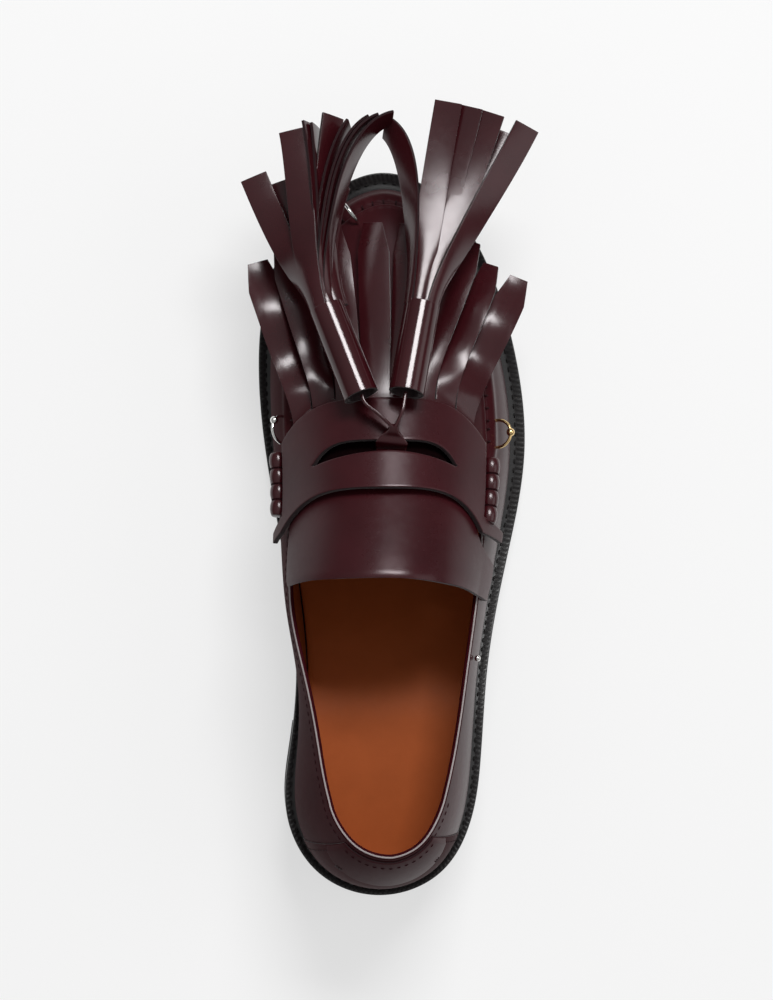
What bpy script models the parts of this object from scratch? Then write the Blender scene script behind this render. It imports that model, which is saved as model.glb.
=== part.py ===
"""Tassel loafer for the right foot, made up from its separate pieces.

Metres, +Z up, +Y towards the toe and +X towards the outer side of the foot.
The origin is on the floor under the middle of the heel.
"Along" is measured forwards from the back of the outsole, and "turn" runs round
the last from its ridge line (0) down to the welt (1 outer side, -1 inner side).
"""

import math
from collections import namedtuple

import bmesh
import bpy
import numpy as np
from mathutils import Matrix, Vector

MM = 0.001

# Driving sizes
LENGTH = 280 * MM
BALL_WIDTH = 104 * MM
INSTEP_HEIGHT = 86.5 * MM
HEEL_CENTRE = 36 * MM
CLEARANCE = 0.3 * MM

# Sole and wall thicknesses
OUTSOLE = 6 * MM
WELT = 3.2 * MM
WELT_UNDER_INSOLE = 5 * MM
INSOLE = 2.6 * MM
TOP_LIFT = 5 * MM
HEEL_BREAST = 66 * MM
HEEL_TAPER = 1.5 * MM
WALL = 2.2 * MM
INSOLE_GAP = 0.6 * MM

# Stations of the last
HEEL_POLE = 40 * MM
TOE_POLE = 243 * MM
THROAT = 150 * MM

# Apron seam
SEAM_SHARE = 0.455
SEAM_HEIGHT = 1.0 * MM
SEAM_EASE = 25 * MM

# Sole edge seen from above, from the heel's back round the outer side to the toe and back.
# Along is in percent of the length, across in percent of the ball width, welt in millimetres.
Edge = namedtuple("Edge", "along across welt")
OUTLINE = [
    Edge(0.0, 0.0, 4.0),
    Edge(3.4, 23.1, 4.0),
    Edge(10.7, 33.9, 4.2),
    Edge(19.6, 37.5, 4.6),
    Edge(31.4, 40.2, 5.2),
    Edge(45.7, 47.6, 6.0),
    Edge(61.4, 54.8, 6.5),
    Edge(75.0, 51.2, 6.5),
    Edge(88.2, 39.6, 6.5),
    Edge(96.6, 23.0, 6.6),
    Edge(100.0, 1.4, 6.8),
    Edge(96.6, -20.4, 6.4),
    Edge(88.9, -37.2, 5.6),
    Edge(73.2, -45.2, 5.0),
    Edge(57.1, -40.9, 3.8),
    Edge(43.6, -34.6, 2.6),
    Edge(31.4, -31.3, 2.4),
    Edge(20.7, -33.6, 3.2),
    Edge(11.8, -35.2, 4.0),
    Edge(3.4, -24.0, 4.0),
]

# Underside of the outsole: height off the floor in millimetres, along in percent.
Rise = namedtuple("Rise", "along height")
UNDERSIDE = [
    Rise(0.0, 23.8),
    Rise(12.5, 22.6),
    Rise(24.0, 20.0),
    Rise(34.0, 12.4),
    Rise(43.0, 4.9),
    Rise(50.5, 0.8),
    Rise(55.4, 0.0),
    Rise(76.8, 0.0),
    Rise(86.0, 1.8),
    Rise(93.6, 5.0),
    Rise(100.0, 9.2),
]

# Sections of the last. Ridge is in percent of the instep height, spine and leans in
# millimetres, rise and shoulders in percent of a section's height and half width.
Section = namedtuple("Section", "along spine ridge rise lean_outer lean_inner shoulder_outer shoulder_inner")
LAST = [
    Section(14.3, 2.8, 121.5, 45, 2.0, 2.5, 40, 40),
    Section(26.4, 1.4, 123.0, 45, 3.4, 6.5, 57, 66),
    Section(39.6, 0.5, 118.5, 50, 4.6, 12.0, 66, 106),
    Section(53.6, 1.3, 100.0, 52, 3.4, 8.5, 63, 73),
    Section(64.3, 2.2, 84.0, 55, 2.6, 5.5, 60, 66),
    Section(75.0, 3.0, 69.6, 60, 2.0, 3.4, 62, 64),
    Section(86.8, 3.0, 57.2, 66, 1.5, 1.5, 66, 66),
]
FanEnd = namedtuple("FanEnd", "lean rise shoulder")
HEEL_END = FanEnd(3.0, 45, 45)
TOE_END = FanEnd(1.6, 70, 68)

# Height of the collar edge in millimetres, by where its rib stands on the welt.
Collar = namedtuple("Collar", "along height")
COLLAR = [
    Collar(0.0, 88.0),
    Collar(6.0, 86.5),
    Collar(14.3, 81.5),
    Collar(21.4, 76.0),
    Collar(30.0, 70.5),
    Collar(40.0, 66.0),
    Collar(53.6, 60.0),
]

# Saddle strap across the instep, and the layers that lie under it
STRAP_REAR = 158.7 * MM
STRAP_FRONT = 192.5 * MM
STRAP_SWEEP = 17.7 * MM
STRAP_SWEEP_POWER = 2.8
STRAP_TURN = 0.555
STRAP_OUTER_SHARE = 0.82
LAYER_LIFT = 0.5 * MM
WALL_SLANT = 1.12

# Tongue: its rear edge, and how far it runs in under the strap
TONGUE = 1.6 * MM
TONGUE_UNDER_STRAP = 7 * MM
TONGUE_INNER_TURN = -0.53
TONGUE_OUTER_TURN = 0.44
TONGUE_CORNER_TURN = 0.67
TONGUE_NARROWS_AT = 0.5
TONGUE_NARROWS_OVER = 0.3
TongueEdge = namedtuple("TongueEdge", "turn along")
TONGUE_EDGE = [
    TongueEdge(-0.53, 120.5),
    TongueEdge(-0.25, 124.0),
    TongueEdge(0.0, 125.0),
    TongueEdge(0.30, 122.0),
    TongueEdge(0.55, 117.0),
    TongueEdge(0.67, 114.5),
]

# Strap body, its crescent slot and the tails at its rear corners
STRAP = 2 * MM
STRAP_LIFT = 2.6 * MM
STRAP_BRIDGE = 3.8 * MM
STRAP_SPLIT = 0.37
SLOT_TURN = 0.36
SLOT_REAR = 172.6 * MM
SLOT_FRONT = 176.4 * MM
SLOT_REAR_SWEEP = 6.7 * MM
TAIL_TURN = 0.645
TAIL_REAR = 136.5 * MM
TAIL_FRONT = 140.5 * MM

# Beef rolls at the strap's ends: where each starts and stops along the shoe
ROLL_TURN = 0.615
ROLL_RADIUS = 3.3 * MM
ROLL_LOBES = 4
ROLL_STITCHED = 0.72
RollSpan = namedtuple("RollSpan", "name side start stop")
ROLLS = [
    RollSpan("beef_roll_lateral", 1, 144.5 * MM, 169 * MM),
    RollSpan("beef_roll_medial", -1, 147 * MM, 171 * MM),
]

# Kiltie: a band under the strap with slit strips, tips listed from the inner to the outer side.
# Tip places are in millimetres, roll is in degrees with the outer edge up.
KILTIE = 1.5 * MM
KILTIE_BEHIND = 9 * MM
KILTIE_AHEAD = 1 * MM
KILTIE_TURN = 0.505
KILTIE_SLIT_TURN = 0.008
KILTIE_POINT = 0.07
KILTIE_ARCH = 5 * MM
KILTIE_ROOT_ARCH = 2 * MM
KILTIE_TIP_WIDTH = 0.96
KILTIE_TIP_HANDLE = 0.35
KiltieTip = namedtuple("KiltieTip", "across along height roll")
KILTIE_TIPS = [
    KiltieTip(-49.5, 240.5, 42.0, 24),
    KiltieTip(-38.0, 249.0, 47.0, 14),
    KiltieTip(-19.0, 257.0, 49.0, 6),
    KiltieTip(-3.6, 259.5, 47.8, 0),
    KiltieTip(9.6, 259.0, 47.8, 0),
    KiltieTip(25.5, 254.0, 49.0, -6),
    KiltieTip(41.0, 242.0, 46.0, -14),
    KiltieTip(54.0, 234.5, 41.5, -24),
]

# Tassels: a rolled tube each, and strips that fan out of its mouth.
# Ends and tips are across, along and height in millimetres. Bend moves a strip's
# second control point across and along, and stack is its height in the mouth.
TUBE_RADIUS = 6.5 * MM
STRIP_WIDTH = 10.5 * MM
STRIP = 1.3 * MM
STRIP_ROOT = 6 * MM
STRIP_HANDLE = 0.3
STRIP_BEND_AT = 0.68
STRIP_ROLL_EASE = 1.4
TasselStrip = namedtuple("TasselStrip", "across along height roll bend_across bend_along stack")
Tassel = namedtuple("Tassel", "name rear mouth strips")
TASSELS = [
    Tassel("tassel_medial", (-8.6, 193.0, 83.5), (-21.4, 226.5, 70.0), [
        TasselStrip(-49.3, 276.6, 57.0, 4, 0, 0, 0.6),
        TasselStrip(-39.8, 274.8, 51.0, 10, 0, 0, -2.2),
        TasselStrip(-34.6, 294.0, 63.5, -32, 1, 4, 3.0),
        TasselStrip(-27.8, 297.0, 60.0, -68, 0, 2, 1.8),
        TasselStrip(-18.5, 299.7, 58.0, -14, -3, 2, -0.6),
        TasselStrip(-11.0, 296.0, 53.0, -60, -6, 8, -1.6),
        TasselStrip(3.0, 298.6, 62.5, 38, -9, 20, 4.2),
        TasselStrip(-15.3, 276.5, 49.5, 0, -2, 0, -3.6),
    ]),
    Tassel("tassel_lateral", (7.9, 194.0, 83.5), (14.3, 227.5, 70.0), [
        TasselStrip(3.4, 296.4, 54.5, 34, 8, 11, -0.8),
        TasselStrip(25.0, 304.8, 60.5, 0, 0, 0, 4.2),
        TasselStrip(32.5, 303.6, 53.0, 6, 0, 0, -2.0),
        TasselStrip(41.3, 300.8, 59.0, -3, 0, 0, 2.4),
        TasselStrip(47.0, 294.0, 50.5, 4, 0, 0, -3.4),
        TasselStrip(55.4, 295.7, 56.0, -8, 0, 0, 0.8),
    ]),
]

# Tie that holds both tassels: a tab hooked under the strap through the slot, pinched to a neck.
# Stops are across, along and height in millimetres with the section's width and depth there.
TieStop = namedtuple("TieStop", "across along height width depth")
TIE_TAB = [
    TieStop(2.6, 170.6, 80.3, 11.0, 1.3),
    TieStop(2.6, 173.4, 80.6, 11.6, 1.3),
    TieStop(2.6, 174.5, 82.6, 12.0, 1.3),
    TieStop(2.7, 175.6, 84.6, 11.6, 1.4),
    TieStop(2.9, 177.6, 84.9, 8.6, 2.2),
    TieStop(3.2, 180.0, 85.6, 4.2, 4.4),
    TieStop(3.4, 181.8, 86.0, 3.2, 5.2),
]
TIE_THONGS = [
    [
        TieStop(3.2, 180.8, 86.0, 1.3, 4.2),
        TieStop(0.2, 183.6, 86.0, 1.3, 4.6),
        TieStop(-2.8, 186.4, 85.6, 1.3, 4.6),
    ],
    [
        TieStop(3.6, 180.8, 86.0, 1.3, 4.2),
        TieStop(5.4, 184.2, 86.0, 1.3, 4.6),
        TieStop(6.8, 188.0, 85.5, 1.3, 4.6),
    ],
]
THONG_LAST_RUN = 2.4

# Back strip over the heel
COUNTER = 1 * MM
COUNTER_HALF_ANGLE = math.radians(62)
COUNTER_TOP_NARROWING = 0.2
COUNTER_FROM = 0.03
COUNTER_TO = 0.88

# Rings through the leather, each with a captive bead. Rise is the centre's height over the
# leather, tilt leans the ring up from square to it, bead is the bead's place round the ring.
RING_RADIUS = 5.3 * MM
RING_WIRE = 0.6 * MM
RING_BEAD = 1.6 * MM
RING_RISE = 1.3 * MM
RING_PLAY = 0.35 * MM
SideRing = namedtuple("SideRing", "name along turn tilt bead look")
TOE_RING_HEADING = math.radians(-36)
TOE_RING_SHARE = 0.47
TOE_RING_BEAD = math.radians(-38)
STUD_RADIUS = 1.2 * MM
STUD_ALONG = 93 * MM
STUD_TURN = 0.66

# Mesh steps
QUARTER_STATIONS = 8
VAMP_STATIONS = 8
HEEL_RIBS = 12
TOE_RIBS = 14
LOWER_ROWS = (0, 0.2, 0.4, 0.6, 0.8, 0.93, 1)
UPPER_ROWS = (0, 0.06, 0.2, 0.4, 0.6, 0.8, 1)
LOOP_SAMPLES = 1600
PLATE_STATIONS = 36
HEEL_STATIONS = 16
WELT_STATIONS = 80
WELD = 1e-7

Look = namedtuple("Look", "colour roughness metallic")
BURGUNDY = Look((0.055, 0.006, 0.010), 0.18, 0.0)
BLACK_EDGE = Look((0.018, 0.016, 0.017), 0.45, 0.0)
RUBBER = Look((0.012, 0.012, 0.012), 0.7, 0.0)
TAN = Look((0.22, 0.055, 0.022), 0.5, 0.0)
GOLD = Look((0.72, 0.48, 0.19), 0.2, 1.0)
SILVER = Look((0.78, 0.77, 0.75), 0.15, 1.0)

SIDE_RINGS = [
    SideRing("ring_lateral", 178.5 * MM, 0.61, 0.0, 0.0, GOLD),
    SideRing("ring_medial", 180 * MM, -0.62, math.radians(24), math.radians(38), SILVER),
]


# Curves through tables

def smooth_curve(xs, ys):
    """Cubic through a table's points, free of bend at both ends."""
    xs = np.asarray(xs, float)
    ys = np.asarray(ys, float)
    count = len(xs)
    gaps = np.diff(xs)
    grades = np.diff(ys) / gaps
    matrix = np.eye(count)
    right = np.zeros(count)
    for i in range(1, count - 1):
        matrix[i, i - 1:i + 2] = gaps[i - 1], 2 * (gaps[i - 1] + gaps[i]), gaps[i]
        right[i] = 6 * (grades[i] - grades[i - 1])
    bend = np.linalg.solve(matrix, right)

    def value(x):
        i = int(np.clip(np.searchsorted(xs, x) - 1, 0, count - 2))
        far = (x - xs[i]) / gaps[i]
        near = 1 - far
        curve = (near ** 3 - near) * bend[i] + (far ** 3 - far) * bend[i + 1]
        return near * ys[i] + far * ys[i + 1] + curve * gaps[i] ** 2 / 6

    return value


def level_curve(xs, ys):
    """Cubic through a table's points that never overshoots, so a level stretch stays level."""
    xs = np.asarray(xs, float)
    ys = np.asarray(ys, float)
    gaps = np.diff(xs)
    grades = np.diff(ys) / gaps
    slopes = np.zeros(len(xs))
    slopes[0] = grades[0]
    slopes[-1] = grades[-1]
    for i in range(1, len(xs) - 1):
        if grades[i - 1] * grades[i] > 0:
            slopes[i] = 2 * grades[i - 1] * grades[i] / (grades[i - 1] + grades[i])

    def value(x):
        x = min(max(x, xs[0]), xs[-1])
        i = int(np.clip(np.searchsorted(xs, x) - 1, 0, len(gaps) - 1))
        far = (x - xs[i]) / gaps[i]
        near = 1 - far
        ends = near * near * (1 + 2 * far) * ys[i] + far * far * (1 + 2 * near) * ys[i + 1]
        return ends + gaps[i] * near * far * (near * slopes[i] - far * slopes[i + 1])

    return value


def closed_curve(points, samples):
    """Smooth closed curve through points of any dimension, evenly sampled between knots."""
    points = np.asarray(points, float)
    ahead = np.roll(points, -1, axis=0)
    gaps = np.linalg.norm((ahead - points)[:, :2], axis=1)
    grades = (ahead - points) / gaps[:, None]
    count = len(points)
    matrix = np.zeros((count, count))
    right = 6 * (grades - np.roll(grades, 1, axis=0))
    for i in range(count):
        matrix[i, i - 1] += gaps[i - 1]
        matrix[i, i] += 2 * (gaps[i - 1] + gaps[i])
        matrix[i, (i + 1) % count] += gaps[i]
    bend = np.linalg.solve(matrix, right)
    stops = np.concatenate([[0], np.cumsum(gaps)])
    result = []
    for distance in np.linspace(0, stops[-1], samples, endpoint=False):
        i = int(np.searchsorted(stops, distance, side="right") - 1)
        j = (i + 1) % count
        far = (distance - stops[i]) / gaps[i]
        near = 1 - far
        curve = (near ** 3 - near) * bend[i] + (far ** 3 - far) * bend[j]
        result.append(near * points[i] + far * points[j] + curve * gaps[i] ** 2 / 6)
    return np.array(result)


def eased(share):
    """0 to 1 with a level start and end."""
    share = min(max(share, 0.0), 1.0)
    return share * share * (3 - 2 * share)


def mixed(first, second, share):
    return first + (second - first) * share


# The sole's edge and the lines that run inside it

Loop = namedtuple("Loop", "across along outer inner")


def sole_edge():
    rows = [(e.across / 100 * BALL_WIDTH, e.along / 100 * LENGTH, e.welt * MM) for e in OUTLINE]
    return closed_curve(rows, LOOP_SAMPLES)


EDGE = sole_edge()


def inset_loop(welt_share, extra):
    """The sole's edge moved in by a share of the welt's own width and by an extra width."""
    ahead = np.roll(EDGE, -1, axis=0) - np.roll(EDGE, 1, axis=0)
    ahead /= np.linalg.norm(ahead[:, :2], axis=1)[:, None]
    inset = EDGE[:, 2] * welt_share + extra
    across = EDGE[:, 0] - ahead[:, 1] * inset
    along = EDGE[:, 1] + ahead[:, 0] * inset
    heel = int(np.argmin(along))
    across = np.roll(across, -heel)
    along = np.roll(along, -heel)
    toe = int(np.argmax(along))
    outer = (along[:toe + 1], across[:toe + 1])
    back = np.append(along[toe:], along[0])[::-1]
    inner = (back, np.append(across[toe:], across[0])[::-1])
    return Loop(across, along, outer, inner)


SOLE_LOOP = inset_loop(0, 0)
FEATHER_LOOP = inset_loop(1, 0)
INSOLE_LOOP = inset_loop(1, WALL + INSOLE_GAP)


def across_at(loop, along, side):
    stations, values = loop.outer if side > 0 else loop.inner
    return float(np.interp(along, stations, values))


def reach_from(loop, centre, heading):
    """Distance from a centre to a loop, looking along a heading turned from +Y towards +X."""
    offset_x = loop.across - centre[0]
    offset_y = loop.along - centre[1]
    angles = np.mod(np.arctan2(offset_x, offset_y) - heading + math.pi, 2 * math.pi) - math.pi
    order = np.argsort(angles)
    return float(np.interp(0, angles[order], np.hypot(offset_x, offset_y)[order]))


underside_curve = level_curve([r.along for r in UNDERSIDE], [r.height for r in UNDERSIDE])
collar_curve = level_curve([c.along for c in COLLAR], [c.height for c in COLLAR])


def underside(along):
    return underside_curve(along / LENGTH * 100) * MM


def outsole_top(along):
    return underside(along) + OUTSOLE


def welt_bottom(along):
    return outsole_top(along) + CLEARANCE


def welt_top(along):
    return welt_bottom(along) + WELT


def feather(along):
    return welt_top(along) + CLEARANCE


def insole_top(along):
    return feather(along) + INSOLE


def collar_height(along):
    return collar_curve(along / LENGTH * 100) * MM


# The last: a rib of the surface stands on the welt and curves up to the ridge line

Rib = namedtuple("Rib", "centre heading outs ups foot")


def last_column(name):
    return smooth_curve([s.along for s in LAST], [getattr(s, name) for s in LAST])


LAST_CURVES = {name: last_column(name) for name in Section._fields[1:]}


def last_value(name, along):
    return LAST_CURVES[name](along / LENGTH * 100)


def ridge(along):
    return last_value("ridge", along) / 100 * INSTEP_HEIGHT


def spine(along):
    return last_value("spine", along) * MM


def side_value(name, along, side):
    return last_value(name + ("_outer" if side > 0 else "_inner"), along)


def make_rib(centre, direction, reach, slope, lean, rise, shoulder):
    foot = centre[1] + direction[1] * reach
    low = feather(foot)
    high = ridge(centre[1])
    handle = shoulder / 100 * reach
    outs = (reach, reach + lean * MM, handle, 0)
    ups = (low, mixed(low, high, rise / 100), high + slope * handle, high)
    return Rib(centre, direction, outs, ups, foot)


def side_rib(along, side):
    centre = (spine(along), along)
    reach = abs(across_at(FEATHER_LOOP, along, side) - centre[0])
    lean = side_value("lean", along, side)
    shoulder = side_value("shoulder", along, side)
    return make_rib(centre, (side, 0), reach, 0, lean, last_value("rise", along), shoulder)


def fan_rib(pole, heading, end):
    """A rib that fans out round the toe or the heel."""
    centre = (spine(pole), pole)
    direction = (math.sin(heading), math.cos(heading))
    reach = reach_from(FEATHER_LOOP, centre, heading)
    step = 0.5 * MM
    slope = (ridge(pole + step) - ridge(pole - step)) / (2 * step) * direction[1]
    side = abs(direction[0])
    lean = mixed(end.lean, side_value("lean", pole, direction[0]), side)
    rise = mixed(end.rise, last_value("rise", pole), side)
    shoulder = mixed(end.shoulder, side_value("shoulder", pole, direction[0]), side)
    return make_rib(centre, direction, reach, slope, lean, rise, shoulder)


def rib_point(rib, share, lift=0.0):
    """Point on a rib, share 0 at the welt and 1 at the ridge, lifted off the surface."""
    rest = 1 - share
    weights = (rest ** 3, 3 * share * rest ** 2, 3 * share ** 2 * rest, share ** 3)
    out = sum(w * v for w, v in zip(weights, rib.outs))
    up = sum(w * v for w, v in zip(weights, rib.ups))
    if lift:
        speeds = (rest ** 2, 2 * share * rest, share ** 2)
        out_speed = sum(s * (rib.outs[i + 1] - rib.outs[i]) for i, s in enumerate(speeds))
        up_speed = sum(s * (rib.ups[i + 1] - rib.ups[i]) for i, s in enumerate(speeds))
        speed = math.hypot(out_speed, up_speed)
        out += lift * up_speed / speed
        up -= lift * out_speed / speed
    x = rib.centre[0] + rib.heading[0] * out
    y = rib.centre[1] + rib.heading[1] * out
    return Vector((x, y - HEEL_CENTRE, up))


def last_point(along, turn, lift=0.0):
    return rib_point(side_rib(along, 1 if turn >= 0 else -1), 1 - abs(turn), lift)


def share_at_height(rib, height):
    shares = np.linspace(0, 1, 201)
    heights = [rib_point(rib, share).z for share in shares]
    return float(np.interp(height, heights, shares))


def line_share(rib):
    """Where the collar edge, or ahead of the throat the apron seam, crosses a rib."""
    if rib.foot <= THROAT:
        return share_at_height(rib, collar_height(rib.foot))
    ease = eased((rib.foot - THROAT) / SEAM_EASE)
    return mixed(share_at_height(rib, collar_height(THROAT)), SEAM_SHARE, ease)


# Scene helpers

def clear_scene():
    for item in list(bpy.data.objects):
        bpy.data.objects.remove(item, do_unlink=True)


def new_collection(name):
    collection = bpy.data.collections.new(name)
    bpy.context.scene.collection.children.link(collection)
    return collection


def make_material(name, look):
    material = bpy.data.materials.new(name)
    material.use_nodes = True
    shader = material.node_tree.nodes["Principled BSDF"]
    shader.inputs["Base Color"].default_value = (*look.colour, 1)
    shader.inputs["Roughness"].default_value = look.roughness
    shader.inputs["Metallic"].default_value = look.metallic
    return material


def finish_mesh(name, mesh_data, look):
    """Object from a bmesh, welded and shaded, in the shoe's collection."""
    bmesh.ops.remove_doubles(mesh_data, verts=mesh_data.verts, dist=WELD)
    mesh = bpy.data.meshes.new(name)
    mesh_data.to_mesh(mesh)
    mesh_data.free()
    mesh.shade_smooth()
    mesh.set_sharp_from_angle(angle=math.radians(35))
    item = bpy.data.objects.new(name, mesh)
    mesh.materials.append(make_material(name, look))
    PARTS.objects.link(item)
    return item


def make_cutter(item):
    item.hide_render = True
    item.display_type = "WIRE"
    PARTS.objects.unlink(item)
    CUTTERS.objects.link(item)


def loft(name, sections, look, closed=False):
    """Solid through rings of points, capped at both ends or closed on itself."""
    mesh_data = bmesh.new()
    rings = [[mesh_data.verts.new(point) for point in section] for section in sections]
    count = len(rings[0])
    pairs = list(zip(rings, rings[1:]))
    if closed:
        pairs.append((rings[-1], rings[0]))
    for first, second in pairs:
        for i in range(count):
            j = (i + 1) % count
            mesh_data.faces.new((first[i], first[j], second[j], second[i]))
    if not closed:
        mesh_data.faces.new(rings[0][::-1])
        mesh_data.faces.new(rings[-1])
    bmesh.ops.remove_doubles(mesh_data, verts=mesh_data.verts, dist=WELD)
    bmesh.ops.recalc_face_normals(mesh_data, faces=mesh_data.faces)
    return finish_mesh(name, mesh_data, look)


def shell(name, quads, thickness, look):
    """Open surface given as corner points of faces that look outwards, with a solid wall behind it."""
    mesh_data = bmesh.new()
    for quad in quads:
        mesh_data.faces.new([mesh_data.verts.new(point) for point in quad])
    item = finish_mesh(name, mesh_data, look)
    wall = item.modifiers.new("wall", "SOLIDIFY")
    wall.thickness = thickness
    wall.offset = -1
    wall.use_even_offset = True
    return item


def grid_quads(grid):
    """Faces between neighbouring points of stacked rows."""
    quads = []
    for row, above in zip(grid, grid[1:]):
        for i in range(len(row) - 1):
            quads.append((row[i], row[i + 1], above[i + 1], above[i]))
    return quads


# Sole

def stations_between(low, high, count, ends="both"):
    """Stations that crowd towards the round ends."""
    turn = math.pi if ends == "both" else math.pi / 2
    scale = 2 if ends == "both" else 1
    steps = [(1 - math.cos(turn * i / count)) / scale for i in range(count + 1)]
    return [mixed(low, high, step) for step in steps]


def plate_section(loop, along, bottom, top, inset=0.0):
    outer = across_at(loop, along, 1)
    inner = across_at(loop, along, -1)
    inset = min(inset, (outer - inner) / 2)
    y = along - HEEL_CENTRE
    return [
        Vector((inner + inset, y, bottom)),
        Vector((outer - inset, y, bottom)),
        Vector((outer, y, top)),
        Vector((inner, y, top)),
    ]


def plate(name, loop, bottom, top, look):
    stations = stations_between(loop.along.min(), loop.along.max(), PLATE_STATIONS)
    sections = [plate_section(loop, along, bottom(along), top(along)) for along in stations]
    return loft(name, sections, look)


def make_outsole():
    plate("outsole", SOLE_LOOP, underside, outsole_top, BLACK_EDGE)


def make_insole():
    plate("insole", INSOLE_LOOP, feather, insole_top, TAN)


def make_heel():
    stations = stations_between(SOLE_LOOP.along.min(), HEEL_BREAST, HEEL_STATIONS, "first")
    block = []
    lift = []
    for along in stations:
        low = TOP_LIFT + CLEARANCE
        high = underside(along) - CLEARANCE
        block.append(plate_section(SOLE_LOOP, along, low, high, HEEL_TAPER))
        lift.append(plate_section(SOLE_LOOP, along, 0, TOP_LIFT))
    loft("heel_block", block, BLACK_EDGE)
    loft("top_lift", lift, RUBBER)


def make_welt():
    """Strip that runs all round on the outsole, under the foot of the upper."""
    inside = inset_loop(1, WALL + WELT_UNDER_INSOLE)
    sections = []
    for i in range(WELT_STATIONS):
        k = i * LOOP_SAMPLES // WELT_STATIONS
        section = []
        for loop in (SOLE_LOOP, inside):
            x = loop.across[k]
            along = loop.along[k]
            low = Vector((x, along - HEEL_CENTRE, welt_bottom(along)))
            high = Vector((x, along - HEEL_CENTRE, welt_top(along)))
            section += [low, high] if loop is SOLE_LOOP else [high, low]
        sections.append(section)
    loft("welt", sections, BLACK_EDGE, closed=True)


# Upper

def upper_ribs():
    """Ribs in order: outer quarter, heel, inner quarter, inner vamp, toe, outer vamp."""
    quarter = [mixed(THROAT, HEEL_POLE, i / QUARTER_STATIONS) for i in range(QUARTER_STATIONS)]
    vamp = [mixed(THROAT, TOE_POLE, i / VAMP_STATIONS) for i in range(1, VAMP_STATIONS)]
    heel = [fan_rib(HEEL_POLE, math.radians(90 + 180 * i / HEEL_RIBS), HEEL_END) for i in range(HEEL_RIBS + 1)]
    toe = [fan_rib(TOE_POLE, math.radians(-90 + 180 * i / TOE_RIBS), TOE_END) for i in range(TOE_RIBS + 1)]
    back = [side_rib(along, 1) for along in quarter] + heel
    back += [side_rib(along, -1) for along in quarter[:0:-1]]
    front = [side_rib(along, -1) for along in [THROAT] + vamp] + toe
    front += [side_rib(along, 1) for along in vamp[::-1]]
    return back, front


def seam_lift(rib):
    return SEAM_HEIGHT * eased((rib.foot - THROAT) / SEAM_EASE)


def make_upper():
    back, front = upper_ribs()
    lower = []
    for rib in back + front + back[:1]:
        line = line_share(rib)
        column = [rib_point(rib, line * row) for row in LOWER_ROWS[:-1]]
        lower.append(column + [rib_point(rib, line, seam_lift(rib))])
    apron = []
    for rib in front + back[:1]:
        line = line_share(rib)
        column = [rib_point(rib, mixed(line, 1, row)) for row in UPPER_ROWS[1:]]
        apron.append([rib_point(rib, line, seam_lift(rib))] + column)
    quads = []
    for grid in (lower, apron):
        quads += [quad[::-1] for quad in grid_quads([list(row) for row in zip(*grid)])]
    return shell("upper", quads, WALL, BURGUNDY)


# Layers over the upper

def strap_sweep(turn):
    """How far the strap has swept back at a turn."""
    return STRAP_SWEEP * (abs(turn) / STRAP_TURN) ** STRAP_SWEEP_POWER


def strap_turn(turn):
    """Turn on the last of a place on the strap, which reaches less far down on the outer side."""
    return turn * STRAP_OUTER_SHARE if turn > 0 else turn


def strap_rear(turn):
    return STRAP_REAR - strap_sweep(turn)


def strap_front(turn):
    return STRAP_FRONT - strap_sweep(turn)


def outer_lift(bottom_lift, thickness):
    """Lift of a layer's outer face: the wall runs square to a surface that slopes along the last."""
    return bottom_lift + WALL_SLANT * thickness


def make_tongue():
    rear_edge = level_curve([e.turn for e in TONGUE_EDGE], [e.along for e in TONGUE_EDGE])
    columns = 18
    rows = 6
    lift = outer_lift(LAYER_LIFT, TONGUE)
    grid = []
    for j in range(rows + 1):
        forward = j / rows
        narrow = eased((forward - TONGUE_NARROWS_AT) / TONGUE_NARROWS_OVER)
        corner = mixed(TONGUE_CORNER_TURN, TONGUE_OUTER_TURN, narrow)
        row = []
        for i in range(columns + 1):
            turn = mixed(TONGUE_INNER_TURN, corner, i / columns)
            under = min(turn / STRAP_OUTER_SHARE, TAIL_TURN) if turn > 0 else turn
            along = mixed(rear_edge(turn) * MM, strap_rear(under) + TONGUE_UNDER_STRAP, forward)
            row.append(last_point(along, turn, lift))
        grid.append(row)
    return shell("tongue", grid_quads(grid), TONGUE, BURGUNDY)


def slot_rear(turn):
    return SLOT_REAR - SLOT_REAR_SWEEP * (turn / SLOT_TURN) ** 2


def slot_front(turn):
    sweep = SLOT_FRONT - slot_rear(SLOT_TURN)
    return SLOT_FRONT - sweep * (turn / SLOT_TURN) ** 4


def strap_point(along, turn):
    """Point on the strap's outer face, which bridges the middle of the instep."""
    share = min(abs(turn) / STRAP_TURN, 1)
    bridge = STRAP_BRIDGE * math.cos(share * math.pi / 2) ** 2
    return last_point(along, strap_turn(turn), outer_lift(STRAP_LIFT + bridge, STRAP))


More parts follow.
